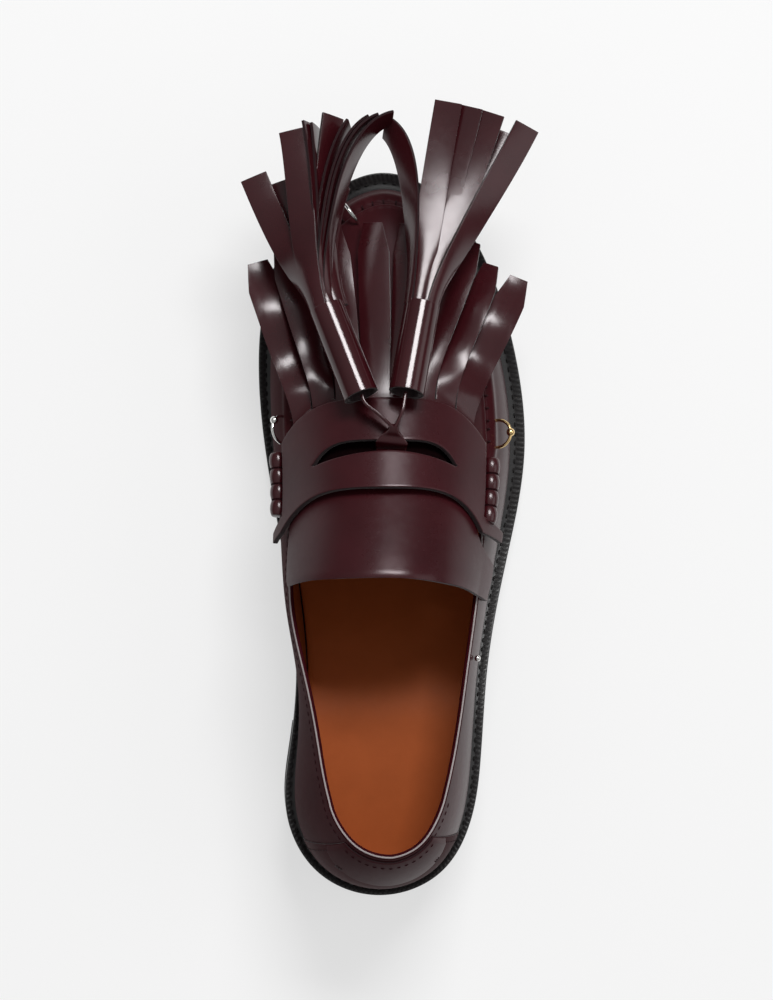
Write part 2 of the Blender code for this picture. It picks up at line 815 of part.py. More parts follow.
def make_strap():
    slot_steps = 12
    end_steps = 3
    ends = [mixed(SLOT_TURN, STRAP_TURN, i / end_steps) for i in range(1, end_steps + 1)]
    turns = [-turn for turn in ends[::-1]]
    turns += [mixed(-SLOT_TURN, SLOT_TURN, i / slot_steps) for i in range(slot_steps + 1)]
    turns += ends
    behind = []
    ahead = []
    for turn in turns:
        rear = strap_rear(turn)
        front = strap_front(turn)
        split = mixed(rear, front, STRAP_SPLIT)
        in_slot = abs(turn) < SLOT_TURN - 1e-6
        low = slot_rear(turn) if in_slot else split
        high = slot_front(turn) if in_slot else split
        behind.append([strap_point(mixed(rear, low, row), turn) for row in (0, 0.5, 1)])
        ahead.append([strap_point(mixed(high, front, row), turn) for row in (0, 0.5, 1)])
    quads = []
    for grid in (behind, ahead):
        quads += grid_quads([list(row) for row in zip(*grid)])
    for side, column in ((-1, behind[0]), (1, behind[-1])):
        tips = [strap_point(along, side * TAIL_TURN) for along in (TAIL_REAR, TAIL_FRONT)]
        tail = (column[0], tips[0], tips[1], column[1])
        quads.append(tail if side > 0 else tail[::-1])
    return shell("saddle_strap", quads, STRAP, BURGUNDY)


def make_beef_roll(roll):
    """Roll of leather with a row of lobes, each drawn in by a stitch."""
    stations = 6 * ROLL_LOBES
    sides = 10
    path = []
    for i in range(stations + 1):
        along = mixed(roll.start, roll.stop, i / stations)
        path.append(last_point(along, strap_turn(roll.side * ROLL_TURN), ROLL_RADIUS + LAYER_LIFT))
    sections = []
    for i, centre in enumerate(path):
        ahead = (path[min(i + 1, stations)] - path[max(i - 1, 0)]).normalized()
        right = ahead.cross(Vector((0, 0, 1))).normalized()
        up = right.cross(ahead)
        lobe = abs(math.sin(math.pi * ROLL_LOBES * i / stations))
        radius = ROLL_RADIUS * mixed(ROLL_STITCHED, 1, math.sqrt(lobe))
        angles = [2 * math.pi * k / sides for k in range(sides)]
        sections.append([centre + (right * math.cos(a) + up * math.sin(a)) * radius for a in angles])
    return loft(roll.name, sections, BURGUNDY)


def bezier(points, share):
    rest = 1 - share
    weights = (rest ** 3, 3 * share * rest ** 2, 3 * share ** 2 * rest, share ** 3)
    return sum((w * p for w, p in zip(weights, points)), Vector((0, 0, 0)))


def place(across, along, height):
    """World point from a place on the shoe in millimetres."""
    return Vector((across, along, height)) * MM - Vector((0, HEEL_CENTRE, 0))


def rolled_side(ahead, roll):
    """Direction across a strip that runs ahead, its outer edge raised by a roll in degrees."""
    level = Vector((ahead.y, -ahead.x, 0)).normalized()
    angle = math.radians(roll)
    return level * math.cos(angle) + Vector((0, 0, math.sin(angle)))


def kiltie_turns(index):
    """Turns of a strip's inner edge, middle and outer edge."""
    pitch = 2 * KILTIE_TURN / len(KILTIE_TIPS)
    left = -KILTIE_TURN + pitch * index + KILTIE_SLIT_TURN / 2
    right = left + pitch - KILTIE_SLIT_TURN
    return left, (left + right) / 2, right


def kiltie_band(turn, back, ahead=0.0):
    """Point on the band's outer face, back 0 at the roots of the strips and 1 at its rear edge."""
    root = strap_front(turn) + KILTIE_AHEAD
    rear = strap_rear(turn) + KILTIE_BEHIND
    return last_point(mixed(root, rear, back) + ahead, strap_turn(turn), outer_lift(LAYER_LIFT, KILTIE))


def kiltie_strip(index):
    """Rows of three points along one strip, from its root at the strap to its pointed tip."""
    rows = 7
    tip = KILTIE_TIPS[index]
    turns = kiltie_turns(index)
    roots = [kiltie_band(turn, 0) for turn in turns]
    ahead = (kiltie_band(turns[1], 0, 1 * MM) - roots[1]).normalized()
    end = place(tip.across, tip.along, tip.height)
    reach = (end - roots[1]).length
    heading = Vector((end.x - roots[1].x, end.y - roots[1].y, 0)).normalized()
    first = roots[1] + ahead * reach * STRIP_HANDLE + Vector((0, 0, KILTIE_ROOT_ARCH))
    second = end - heading * reach * KILTIE_TIP_HANDLE + Vector((0, 0, KILTIE_ARCH))
    control = [roots[1], first, second, end]
    root_side = (roots[2] - roots[0]) / 2
    tip_side = rolled_side(heading, tip.roll) * root_side.length * KILTIE_TIP_WIDTH
    strip = [roots]
    for i in range(1, rows + 1):
        row = []
        for column in (-1, 0, 1):
            share = i / rows * (1 - KILTIE_POINT * abs(column))
            side = root_side.lerp(tip_side, eased(share))
            row.append(bezier(control, share) + side * column)
        strip.append(row)
    return strip


def make_kiltie():
    strips = [kiltie_strip(index) for index in range(len(KILTIE_TIPS))]
    turns = [turn for index in range(len(strips)) for turn in kiltie_turns(index)]
    quads = grid_quads([[kiltie_band(turn, back) for turn in turns] for back in (1, 0.5, 0)])
    for strip in strips:
        quads += grid_quads(strip)
    return shell("kiltie", quads, KILTIE, BURGUNDY)


def box_section(centre, side, up, width, depth):
    across = side * (width / 2)
    rise = up * (depth / 2)
    return [centre - across - rise, centre + across - rise, centre + across + rise, centre - across + rise]


def tassel_strip(name, tassel, strip):
    rear = place(*tassel.rear)
    mouth = place(*tassel.mouth)
    axis = (mouth - rear).normalized()
    tip = place(strip.across, strip.along, strip.height)
    level = rolled_side(axis, 0)
    root = mouth - axis * STRIP_ROOT + level.cross(axis) * (strip.stack * MM)
    reach = (tip - root).length
    bend = Vector((strip.bend_across, strip.bend_along, 0)) * MM
    control = [root, root + axis * reach * STRIP_HANDLE, root.lerp(tip, STRIP_BEND_AT) + bend, tip]
    steps = 9
    sections = []
    for i in range(steps + 1):
        share = i / steps
        centre = bezier(control, share)
        ahead = (bezier(control, share + 0.01) - bezier(control, share - 0.01)).normalized()
        side = rolled_side(ahead, strip.roll * eased(share * STRIP_ROLL_EASE))
        side = (side - ahead * side.dot(ahead)).normalized()
        sections.append(box_section(centre, side, side.cross(ahead), STRIP_WIDTH, STRIP))
    return loft(name, sections, BURGUNDY)


def join(item, others):
    """Fuses other solids onto an item and keeps them as guides."""
    for other in others:
        union = item.modifiers.new("join " + other.name, "BOOLEAN")
        union.operation = "UNION"
        union.object = other
        make_cutter(other)


def make_tassel(tassel):
    rear = place(*tassel.rear)
    mouth = place(*tassel.mouth)
    axis = mouth - rear
    mesh_data = bmesh.new()
    turn = axis.to_track_quat("Z", "Y").to_matrix().to_4x4()
    where = Matrix.Translation((rear + mouth) / 2) @ turn
    size = {"radius1": TUBE_RADIUS, "radius2": TUBE_RADIUS, "depth": axis.length}
    bmesh.ops.create_cone(mesh_data, cap_ends=True, segments=20, matrix=where, **size)
    tube = finish_mesh(tassel.name, mesh_data, BURGUNDY)
    strips = [tassel_strip(f"{tassel.name}_strip_{i}", tassel, s) for i, s in enumerate(tassel.strips)]
    join(tube, strips)


def tie_loft(name, stops):
    points = [place(s.across, s.along, s.height) for s in stops]
    sections = []
    for i, stop in enumerate(stops):
        ahead = (points[min(i + 1, len(stops) - 1)] - points[max(i - 1, 0)]).normalized()
        side = rolled_side(ahead, 0)
        sections.append(box_section(points[i], side, side.cross(ahead), stop.width * MM, stop.depth * MM))
    return loft(name, sections, BURGUNDY)


def thong_end(tassel, thickest):
    """Last stops of a thong, square to the rear end of its tassel's tube."""
    rear = Vector(tassel.rear)
    axis = (Vector(tassel.mouth) - rear).normalized()
    spots = [rear - axis * back for back in (THONG_LAST_RUN, CLEARANCE / MM)]
    return [TieStop(*spot, thickest.width, thickest.depth) for spot in spots]


def make_tie():
    tab = tie_loft("tassel_tie", TIE_TAB)
    thongs = []
    for tassel, stops in zip(TASSELS, TIE_THONGS):
        thongs.append(tie_loft("tie_to_" + tassel.name, stops + thong_end(tassel, stops[-1])))
    join(tab, thongs)


def make_counter():
    columns = 14
    rows = 5
    lift = outer_lift(LAYER_LIFT, COUNTER)
    grid = []
    for j in range(rows + 1):
        share = mixed(COUNTER_FROM, COUNTER_TO, j / rows)
        half = COUNTER_HALF_ANGLE * (1 - COUNTER_TOP_NARROWING * (j / rows) ** 2)
        row = []
        for i in range(columns + 1):
            rib = fan_rib(HEEL_POLE, math.pi + mixed(-half, half, i / columns), HEEL_END)
            row.append(rib_point(rib, share * line_share(rib), lift))
        grid.append(row)
    quads = [quad[::-1] for quad in grid_quads(grid)]
    return shell("heel_counter", quads, COUNTER, BURGUNDY)


# Rings

def torus(name, wire, look, where):
    bpy.ops.mesh.primitive_torus_add(
        major_radius=RING_RADIUS, minor_radius=wire, major_segments=24, minor_segments=8
    )
    item = bpy.context.object
    item.name = name
    item.matrix_world = where
    item.data.materials.append(make_material(name, look))
    item.data.shade_smooth()
    bpy.context.collection.objects.unlink(item)
    PARTS.objects.link(item)
    return item


def make_ball(name, radius, centre, look):
    mesh_data = bmesh.new()
    spot = Matrix.Translation(centre)
    bmesh.ops.create_uvsphere(mesh_data, u_segments=12, v_segments=8, radius=radius, matrix=spot)
    return finish_mesh(name, mesh_data, look)


def make_ring(name, centre, chord, outward, bead, look):
    """Ring in the plane of its chord and of the way it stands out, and its holes in the upper."""
    outward = (outward - chord * outward.dot(chord)).normalized()
    axis = chord.cross(outward)
    where = Matrix.Translation(centre) @ Matrix((chord, outward, axis)).transposed().to_4x4()
    ring = torus(name, RING_WIRE, look, where)
    spot = centre + (chord * math.sin(bead) + outward * math.cos(bead)) * RING_RADIUS
    join(ring, [make_ball(name + "_bead", RING_BEAD, spot, look)])
    hole = torus(name + "_hole", RING_WIRE + RING_PLAY, look, where)
    make_cutter(hole)
    cut = UPPER.modifiers.new(name + " hole", "BOOLEAN")
    cut.object = hole


def make_side_ring(ring):
    step = 1 * MM
    centre = last_point(ring.along, ring.turn, RING_RISE)
    foot = last_point(ring.along, ring.turn)
    chord = (last_point(ring.along + step, ring.turn, RING_RISE) - centre).normalized()
    outward = (centre - foot).normalized()
    lean = Matrix.Rotation(ring.tilt * (-1 if outward.x > 0 else 1), 3, "Y")
    make_ring(ring.name, centre, chord, lean @ outward, ring.bead, ring.look)


def make_toe_ring():
    rib = fan_rib(TOE_POLE, TOE_RING_HEADING, TOE_END)
    step = 0.01
    rise = RING_RISE + SEAM_HEIGHT / 2
    centre = rib_point(rib, TOE_RING_SHARE, rise)
    chord = rib_point(rib, TOE_RING_SHARE + step) - rib_point(rib, TOE_RING_SHARE - step)
    outward = centre - rib_point(rib, TOE_RING_SHARE)
    make_ring("ring_toe", centre, chord.normalized(), outward, TOE_RING_BEAD, SILVER)


def make_stud():
    centre = last_point(STUD_ALONG, STUD_TURN, STUD_RADIUS + CLEARANCE)
    make_ball("stud_collar", STUD_RADIUS, centre, SILVER)


clear_scene()
PARTS = new_collection("tassel_loafer")
CUTTERS = new_collection("cutters")
make_outsole()
make_heel()
make_welt()
make_insole()
UPPER = make_upper()
make_counter()
make_tongue()
make_kiltie()
make_strap()
for roll in ROLLS:
    make_beef_roll(roll)
for tassel in TASSELS:
    make_tassel(tassel)
make_tie()
for ring in SIDE_RINGS:
    make_side_ring(ring)
make_toe_ring()
make_stud()
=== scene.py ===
"""Tassel loafer for the right foot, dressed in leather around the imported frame.

Metres, +Z up, +Y towards the toe and +X towards the outer side of the foot.
"Along" is measured forwards from the back of the outsole, and "turn" runs round
the last from its ridge line (0) down to the welt (1 outer side, -1 inner side).
"""

import math
from collections import namedtuple

import bmesh
import bpy
import numpy as np
from mathutils import Matrix, Vector


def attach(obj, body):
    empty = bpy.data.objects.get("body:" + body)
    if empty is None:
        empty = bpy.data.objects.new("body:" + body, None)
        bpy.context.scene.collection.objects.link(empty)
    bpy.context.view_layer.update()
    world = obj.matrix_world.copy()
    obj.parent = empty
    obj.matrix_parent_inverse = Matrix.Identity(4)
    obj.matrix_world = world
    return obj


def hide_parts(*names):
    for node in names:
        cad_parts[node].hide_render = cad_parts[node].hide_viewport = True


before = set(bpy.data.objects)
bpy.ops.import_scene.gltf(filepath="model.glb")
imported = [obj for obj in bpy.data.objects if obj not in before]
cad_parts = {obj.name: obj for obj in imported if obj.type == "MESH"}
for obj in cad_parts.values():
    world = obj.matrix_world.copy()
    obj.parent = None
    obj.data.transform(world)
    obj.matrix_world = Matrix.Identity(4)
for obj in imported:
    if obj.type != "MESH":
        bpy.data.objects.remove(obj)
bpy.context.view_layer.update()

MM = 0.001
BODY = "shoe"


def table(kind, *rows):
    """Plain rows as named tuples."""
    return [kind(*row) for row in rows]


# Sizes of the shoe, as in the part's source
LENGTH = 280 * MM
BALL_WIDTH = 104 * MM
INSTEP_HEIGHT = 86.5 * MM
HEEL_CENTRE = 36 * MM
CLEARANCE = 0.3 * MM
OUTSOLE = 6 * MM
WELT = 3.2 * MM
WELT_UNDER_INSOLE = 5 * MM
TOP_LIFT = 5 * MM
HEEL_BREAST = 66 * MM
HEEL_TAPER = 1.5 * MM
WALL = 2.2 * MM
INSOLE_GAP = -0.2 * MM
HEEL_POLE = 40 * MM
TOE_POLE = 243 * MM
THROAT = 150 * MM
SEAM_SHARE = 0.455
SEAM_EASE = 25 * MM

# Sole edge seen from above: along in percent of the length, across in percent of the ball width,
# welt in millimetres.
Edge = namedtuple("Edge", "along across welt")
OUTLINE = table(
    Edge,
    (0.0, 0.0, 4.0), (3.4, 23.1, 4.0), (10.7, 33.9, 4.2), (19.6, 37.5, 4.6), (31.4, 40.2, 5.2),
    (45.7, 47.6, 6.0), (61.4, 54.8, 6.5), (75.0, 51.2, 6.5), (88.2, 39.6, 6.5), (96.6, 23.0, 6.6),
    (100.0, 1.4, 6.8), (96.6, -20.4, 6.4), (88.9, -37.2, 5.6), (73.2, -45.2, 5.0),
    (57.1, -40.9, 3.8), (43.6, -34.6, 2.6), (31.4, -31.3, 2.4), (20.7, -33.6, 3.2),
    (11.8, -35.2, 4.0), (3.4, -24.0, 4.0),
)

# Underside of the outsole: height off the floor in millimetres, along in percent.
Rise = namedtuple("Rise", "along height")
UNDERSIDE = table(
    Rise,
    (0.0, 23.8), (12.5, 22.6), (24.0, 20.0), (34.0, 12.4), (43.0, 4.9), (50.5, 0.8), (55.4, 0.0),
    (76.8, 0.0), (86.0, 1.8), (93.6, 5.0), (100.0, 9.2),
)

# Sections of the last. Ridge is in percent of the instep height, spine and leans in
# millimetres, rise and shoulders in percent of a section's height and half width.
Section = namedtuple("Section", "along spine ridge rise lean_outer lean_inner shoulder_outer shoulder_inner")
LAST = table(
    Section,
    (14.3, 2.8, 121.5, 45, 2.0, 2.5, 40, 40), (26.4, 1.4, 123.0, 45, 3.4, 6.5, 57, 66),
    (39.6, 0.5, 118.5, 50, 4.6, 12.0, 66, 106), (53.6, 1.3, 100.0, 52, 3.4, 8.5, 63, 73),
    (64.3, 2.2, 84.0, 55, 2.6, 5.5, 60, 66), (75.0, 3.0, 69.6, 60, 2.0, 3.4, 62, 64),
    (86.8, 3.0, 57.2, 66, 1.5, 1.5, 66, 66),
)
FanEnd = namedtuple("FanEnd", "lean rise shoulder")
HEEL_END = FanEnd(3.0, 45, 45)
TOE_END = FanEnd(1.6, 70, 68)

# Height of the collar edge in millimetres, by where its rib stands on the welt.
Collar = namedtuple("Collar", "along height")
COLLAR = table(
    Collar,
    (0.0, 88.0), (6.0, 86.5), (14.3, 81.5), (21.4, 76.0), (30.0, 70.5), (40.0, 66.0), (53.6, 60.0),
)

# Saddle strap and the layers under it
STRAP_REAR = 158.7 * MM
STRAP_FRONT = 192.5 * MM
STRAP_SWEEP = 17.7 * MM
STRAP_SWEEP_POWER = 2.8
STRAP_TURN = 0.555
STRAP_OUTER_SHARE = 0.82
LAYER_LIFT = 0.5 * MM
WALL_SLANT = 1.12
TONGUE = 1.6 * MM
TONGUE_UNDER_STRAP = 7 * MM
TONGUE_INNER_TURN = -0.53
TONGUE_OUTER_TURN = 0.44
TONGUE_CORNER_TURN = 0.67
TONGUE_NARROWS_AT = 0.5
TONGUE_NARROWS_OVER = 0.3
TongueEdge = namedtuple("TongueEdge", "turn along")
TONGUE_EDGE = table(
    TongueEdge,
    (-0.53, 120.5), (-0.25, 124.0), (0.0, 125.0), (0.30, 122.0), (0.55, 117.0), (0.67, 114.5),
)
STRAP = 2 * MM
STRAP_LIFT = 2.6 * MM
STRAP_BRIDGE = 3.8 * MM
STRAP_SPLIT = 0.37
SLOT_TURN = 0.345
SLOT_REAR = 172.6 * MM
SLOT_FRONT = 176.4 * MM
SLOT_REAR_SWEEP = 6.7 * MM
TAIL_TURN = 0.645
TAIL_REAR = 136.5 * MM
TAIL_FRONT = 140.5 * MM
ROLL_TURN = 0.615
ROLL_RADIUS = 3.3 * MM
ROLL_LOBES = 4
ROLL_STITCHED = 0.72
RollSpan = namedtuple("RollSpan", "name side start stop")
ROLLS = table(
    RollSpan,
    ("beef_roll_lateral", 1, 144.5 * MM, 169 * MM), ("beef_roll_medial", -1, 147 * MM, 171 * MM),
)

# Kiltie strips from the inner to the outer side: tip in millimetres, roll in degrees.
# Arch is how far a strip stands up behind its tip in millimetres, and twist how far it leans
# over near its root in degrees.
KILTIE = 1.5 * MM
KILTIE_BEHIND = 9 * MM
KILTIE_AHEAD = 1 * MM
KILTIE_TURN = 0.505
KILTIE_SLIT_TURN = 0.008
KILTIE_ROOT_ARCH = 0.5 * MM
KILTIE_TIP_HANDLE = 0.35
KiltieTip = namedtuple("KiltieTip", "across along height roll arch twist")
KILTIE_TIPS = table(
    KiltieTip,
    (-47.6, 244.5, 44.0, -6, 5.0, -24), (-38.0, 249.0, 47.0, -4, 5.0, -28),
    (-19.0, 257.0, 49.6, 11, 10.5, 0), (-3.6, 259.5, 48.8, 17, 11.5, 0),
    (9.6, 259.0, 48.8, 17, 11.5, 0), (35.0, 252.0, 50.0, 24, 10.0, 0),
    (42.0, 243.5, 46.4, 22, 9.0, 0), (53.0, 238.4, 43.0, -5, 5.0, 0),
)

# Tassels: ends and tips are across, along and height in millimetres, roll in degrees. Turn is
# where a strip leaves the tube, in degrees from its top towards the outer side, and wrap is
# the winding of the rolled sheet that it is cut from, 0 being the outermost.
TUBE_RADIUS = 6.8 * MM
STRIP_WIDTH = 10.5 * MM
STRIP = 1.1 * MM
STRIP_HANDLE = 0.22
STRIP_BEND_AT = 0.68
STRIP_ROLL_EASE = 1.1
Strip = namedtuple("Strip", "across along height roll bend_across bend_along bend_up turn wrap")
Tassel = namedtuple("Tassel", "name rear mouth strips")
TASSELS = [
    Tassel("tassel_medial", (-8.6, 193.0, 83.5), (-21.4, 226.5, 73.3), table(
        Strip,
        (-49.3, 276.6, 57.0, 4, 0, 0, -3, -82, 0), (-39.8, 274.8, 51.0, 10, 0, 0, 0, -120, 1),
        (-34.6, 294.0, 63.5, 8, 1, 4, -1, -48, 0), (-27.8, 297.0, 60.0, -68, 0, 2, 0, 70, 1),
        (-25.0, 296.0, 57.0, -74, 0, 2, 0, 76, 2), (-18.5, 299.7, 58.0, -40, -3, 2, -2, 40, 2),
        (-12.0, 295.5, 56.0, -66, -8, 8, 0, 45, 3), (3.8, 298.0, 63.0, -66, -13.0, 18.5, 0, 85, 2),
        (-1.8, 297.4, 61.0, -70, -12.5, 16, 0, 85, 3), (-5.5, 297.0, 59.0, -74, -12, 13, 0, 60, 2),
        (-15.8, 275.0, 52.0, -30, -5, 0, 0, 20, 3),
    )),
    Tassel("tassel_lateral", (7.9, 194.0, 83.5), (14.3, 227.5, 73.3), table(
        Strip,
        (0.4, 295.2, 57.0, 44, 11, 15, 0, -85, 0), (25.0, 304.8, 62.5, -7, 0, 0, -6.0, -30, 1),
        (33.0, 303.2, 60.0, 16, 0, 0, -6.0, 5, 2), (41.3, 300.8, 61.0, 14, 0, 0, -6.0, 34, 1),
        (47.0, 294.0, 53.5, 10, 0, 0, -3, 60, 2), (55.4, 295.7, 59.0, -22, 0, 0, -5.0, 62, 0),
    )),
]

# Tie: stops across, along and height in millimetres with the section's width and depth there.
TieStop = namedtuple("TieStop", "across along height width depth")
TIE_TAB = table(
    TieStop,
    (2.6, 170.6, 80.3, 11.0, 1.3), (2.6, 173.4, 80.6, 11.6, 1.3), (2.6, 174.5, 82.6, 12.0, 1.3),
    (2.7, 175.6, 84.6, 11.6, 1.4), (2.9, 177.6, 84.9, 8.6, 2.2), (3.2, 180.0, 85.6, 4.2, 4.4),
    (3.4, 181.8, 86.0, 3.2, 5.2),
)
TIE_THONGS = [
    table(
        TieStop,
        (3.2, 180.8, 86.0, 1.3, 4.2), (0.2, 183.6, 86.0, 1.3, 4.6), (-2.8, 186.4, 85.6, 1.3, 4.6),
    ),
    table(
        TieStop,
        (3.6, 180.8, 86.0, 1.3, 4.2), (5.4, 184.2, 86.0, 1.3, 4.6), (6.8, 188.0, 85.5, 1.3, 4.6),
    ),
]
THONG_LAST_RUN = 2.4

# Back strip over the heel, rings and stud
BACK_HALF_ANGLE = math.radians(62)
BACK_TOP_NARROWING = 0.2
BACK_FROM = 0.03
RING_RADIUS = 5.3 * MM
RING_WIRE = 0.6 * MM
RING_BEAD = 1.6 * MM
RING_RISE = 1.3 * MM
RING_SEAM_RISE = 0.5 * MM
SideRing = namedtuple("SideRing", "name along turn tilt bead slot")
SIDE_RINGS = table(
    SideRing,
    ("ring_lateral", 178.5 * MM, 0.61, 0.0, 0.0, "gold"),
    ("ring_medial", 180 * MM, -0.62, math.radians(24), math.radians(38), "silver"),
)
TOE_RING_HEADING = math.radians(-36)
TOE_RING_SHARE = 0.47
TOE_RING_BEAD = math.radians(-38)
STUD_RADIUS = 1.2 * MM
STUD_ALONG = 93 * MM
STUD_TURN = 0.66

# Samples along the sole's edge, and the gap at which points are welded
LOOP_SAMPLES = 1600
WELD = 2e-6


# Curves through tables

def bent(ends, bends, gap, far):
    """Value a share of the way along one stretch of a cubic curve."""
    near = 1 - far
    curve = (near ** 3 - near) * bends[0] + (far ** 3 - far) * bends[1]
    return near * ends[0] + far * ends[1] + curve * gap ** 2 / 6


def smooth_curve(xs, ys):
    """Cubic through a table's points, free of bend at both ends."""
    xs = np.asarray(xs, float)
    ys = np.asarray(ys, float)
    count = len(xs)
    gaps = np.diff(xs)
    grades = np.diff(ys) / gaps
    matrix = np.eye(count)
    right = np.zeros(count)
    for i in range(1, count - 1):
        matrix[i, i - 1:i + 2] = gaps[i - 1], 2 * (gaps[i - 1] + gaps[i]), gaps[i]
        right[i] = 6 * (grades[i] - grades[i - 1])
    bend = np.linalg.solve(matrix, right)

    def value(x):
        i = int(np.clip(np.searchsorted(xs, x) - 1, 0, count - 2))
        return bent(ys[i:i + 2], bend[i:i + 2], gaps[i], (x - xs[i]) / gaps[i])

    return value


def level_curve(xs, ys):
    """Cubic through a table's points that never overshoots, so a level stretch stays level."""
    xs = np.asarray(xs, float)
    ys = np.asarray(ys, float)
    gaps = np.diff(xs)
    grades = np.diff(ys) / gaps
    slopes = np.zeros(len(xs))
    slopes[0] = grades[0]
    slopes[-1] = grades[-1]
    for i in range(1, len(xs) - 1):
        if grades[i - 1] * grades[i] > 0:
            slopes[i] = 2 * grades[i - 1] * grades[i] / (grades[i - 1] + grades[i])

    def value(x):
        x = min(max(x, xs[0]), xs[-1])
        i = int(np.clip(np.searchsorted(xs, x) - 1, 0, len(gaps) - 1))
        far = (x - xs[i]) / gaps[i]
        near = 1 - far
        ends = near * near * (1 + 2 * far) * ys[i] + far * far * (1 + 2 * near) * ys[i + 1]
        return ends + gaps[i] * near * far * (near * slopes[i] - far * slopes[i + 1])

    return value


def closed_curve(points, samples):
    """Smooth closed curve through points of any dimension, evenly sampled between knots."""
    points = np.asarray(points, float)
    ahead = np.roll(points, -1, axis=0)
    gaps = np.linalg.norm((ahead - points)[:, :2], axis=1)
    grades = (ahead - points) / gaps[:, None]
    count = len(points)
    matrix = np.zeros((count, count))
    right = 6 * (grades - np.roll(grades, 1, axis=0))
    for i in range(count):
        matrix[i, i - 1] += gaps[i - 1]
        matrix[i, i] += 2 * (gaps[i - 1] + gaps[i])
        matrix[i, (i + 1) % count] += gaps[i]
    bend = np.linalg.solve(matrix, right)
    stops = np.concatenate([[0], np.cumsum(gaps)])
    result = []
    for distance in np.linspace(0, stops[-1], samples, endpoint=False):
        i = int(np.searchsorted(stops, distance, side="right") - 1)
        ends = [i, (i + 1) % count]
        result.append(bent(points[ends], bend[ends], gaps[i], (distance - stops[i]) / gaps[i]))
    return np.array(result)


def eased(share):
    """0 to 1 with a level start and end."""
    share = np.clip(share, 0.0, 1.0)
    return share * share * (3 - 2 * share)


def mixed(first, second, share):
    return first + (second - first) * share


def hump(distance, width):
    """1 at no distance, falling off smoothly over a width."""
    return np.exp(-(distance / width) ** 2)


# The sole's edge and the lines that run inside it

Loop = namedtuple("Loop", "across along outer inner")
EDGE = closed_curve(
    [(e.across / 100 * BALL_WIDTH, e.along / 100 * LENGTH, e.welt * MM) for e in OUTLINE], LOOP_SAMPLES
)


def inset_loop(welt_share, extra):
    """The sole's edge moved in by a share of the welt's own width and by an extra width."""
    ahead = np.roll(EDGE, -1, axis=0) - np.roll(EDGE, 1, axis=0)
    ahead /= np.linalg.norm(ahead[:, :2], axis=1)[:, None]
    inset = EDGE[:, 2] * welt_share + extra
    across = EDGE[:, 0] - ahead[:, 1] * inset
    along = EDGE[:, 1] + ahead[:, 0] * inset
    heel = int(np.argmin(along))
    across = np.roll(across, -heel)
    along = np.roll(along, -heel)
    toe = int(np.argmax(along))
    outer = (along[:toe + 1], across[:toe + 1])
    back = np.append(along[toe:], along[0])[::-1]
    inner = (back, np.append(across[toe:], across[0])[::-1])
    return Loop(across, along, outer, inner)


SOLE_LOOP = inset_loop(0, 0)
FEATHER_LOOP = inset_loop(1, 0)
INSOLE_LOOP = inset_loop(1, WALL + INSOLE_GAP)
WELT_INNER_LOOP = inset_loop(1, WALL + WELT_UNDER_INSOLE)


def across_at(loop, along, side):
    stations, values = loop.outer if side > 0 else loop.inner
    return float(np.interp(along, stations, values))


def reach_from(loop, centre, heading):
    """Distance from a centre to a loop, looking along a heading turned from +Y towards +X."""
    offset_x = loop.across - centre[0]
    offset_y = loop.along - centre[1]
    angles = np.mod(np.arctan2(offset_x, offset_y) - heading + math.pi, 2 * math.pi) - math.pi
    order = np.argsort(angles)
    return float(np.interp(0, angles[order], np.hypot(offset_x, offset_y)[order]))


underside_curve = level_curve([r.along for r in UNDERSIDE], [r.height for r in UNDERSIDE])
collar_curve = level_curve([c.along for c in COLLAR], [c.height for c in COLLAR])
tongue_edge = level_curve([e.turn for e in TONGUE_EDGE], [e.along for e in TONGUE_EDGE])


def underside(along):
    return underside_curve(along / LENGTH * 100) * MM


def welt_bottom(along):
    return underside(along) + OUTSOLE + CLEARANCE


def feather(along):
    return welt_bottom(along) + WELT + CLEARANCE


def collar_height(along):
    return collar_curve(along / LENGTH * 100) * MM


# The last: a rib of the surface stands on the welt and curves up to the ridge line

Rib = namedtuple("Rib", "centre heading outs ups foot")
LAST_CURVES = {
    name: smooth_curve([s.along for s in LAST], [getattr(s, name) for s in LAST])
    for name in Section._fields[1:]
}


def last_value(name, along):
    return LAST_CURVES[name](along / LENGTH * 100)


def ridge(along):
    return last_value("ridge", along) / 100 * INSTEP_HEIGHT


def spine(along):
    return last_value("spine", along) * MM


def side_shape(along, side):
    """Lean, rise and shoulder of the last's section on one side."""
    end = "_outer" if side > 0 else "_inner"
    return [last_value(name, along) for name in ("lean" + end, "rise", "shoulder" + end)]


# Spokes run out from the spine: square to it along the sides, and fanned round the heel and the toe

Spoke = namedtuple("Spoke", "centre direction heading")
SLOPE_SPAN = 0.5 * MM


def side_spoke(along, side):
    return Spoke((spine(along), along), (side, 0), None)


def fan_spoke(pole, heading):
    return Spoke((spine(pole), pole), (math.sin(heading), math.cos(heading)), heading)


def spoke_reach(spoke, loop):
    if spoke.heading is None:
        return abs(across_at(loop, spoke.centre[1], spoke.direction[0]) - spoke.centre[0])
    return reach_from(loop, spoke.centre, spoke.heading)


def make_rib(spoke, slope, lean, rise, shoulder):
    reach = spoke_reach(spoke, FEATHER_LOOP)
    foot = spoke.centre[1] + spoke.direction[1] * reach
    low = feather(foot)
    high = ridge(spoke.centre[1])
    handle = shoulder / 100 * reach
    outs = (reach, reach + lean * MM, handle, 0)
    ups = (low, mixed(low, high, rise / 100), high + slope * handle, high)
    return Rib(spoke.centre, spoke.direction, outs, ups, foot)


def side_rib(along, side):
    return make_rib(side_spoke(along, side), 0, *side_shape(along, side))


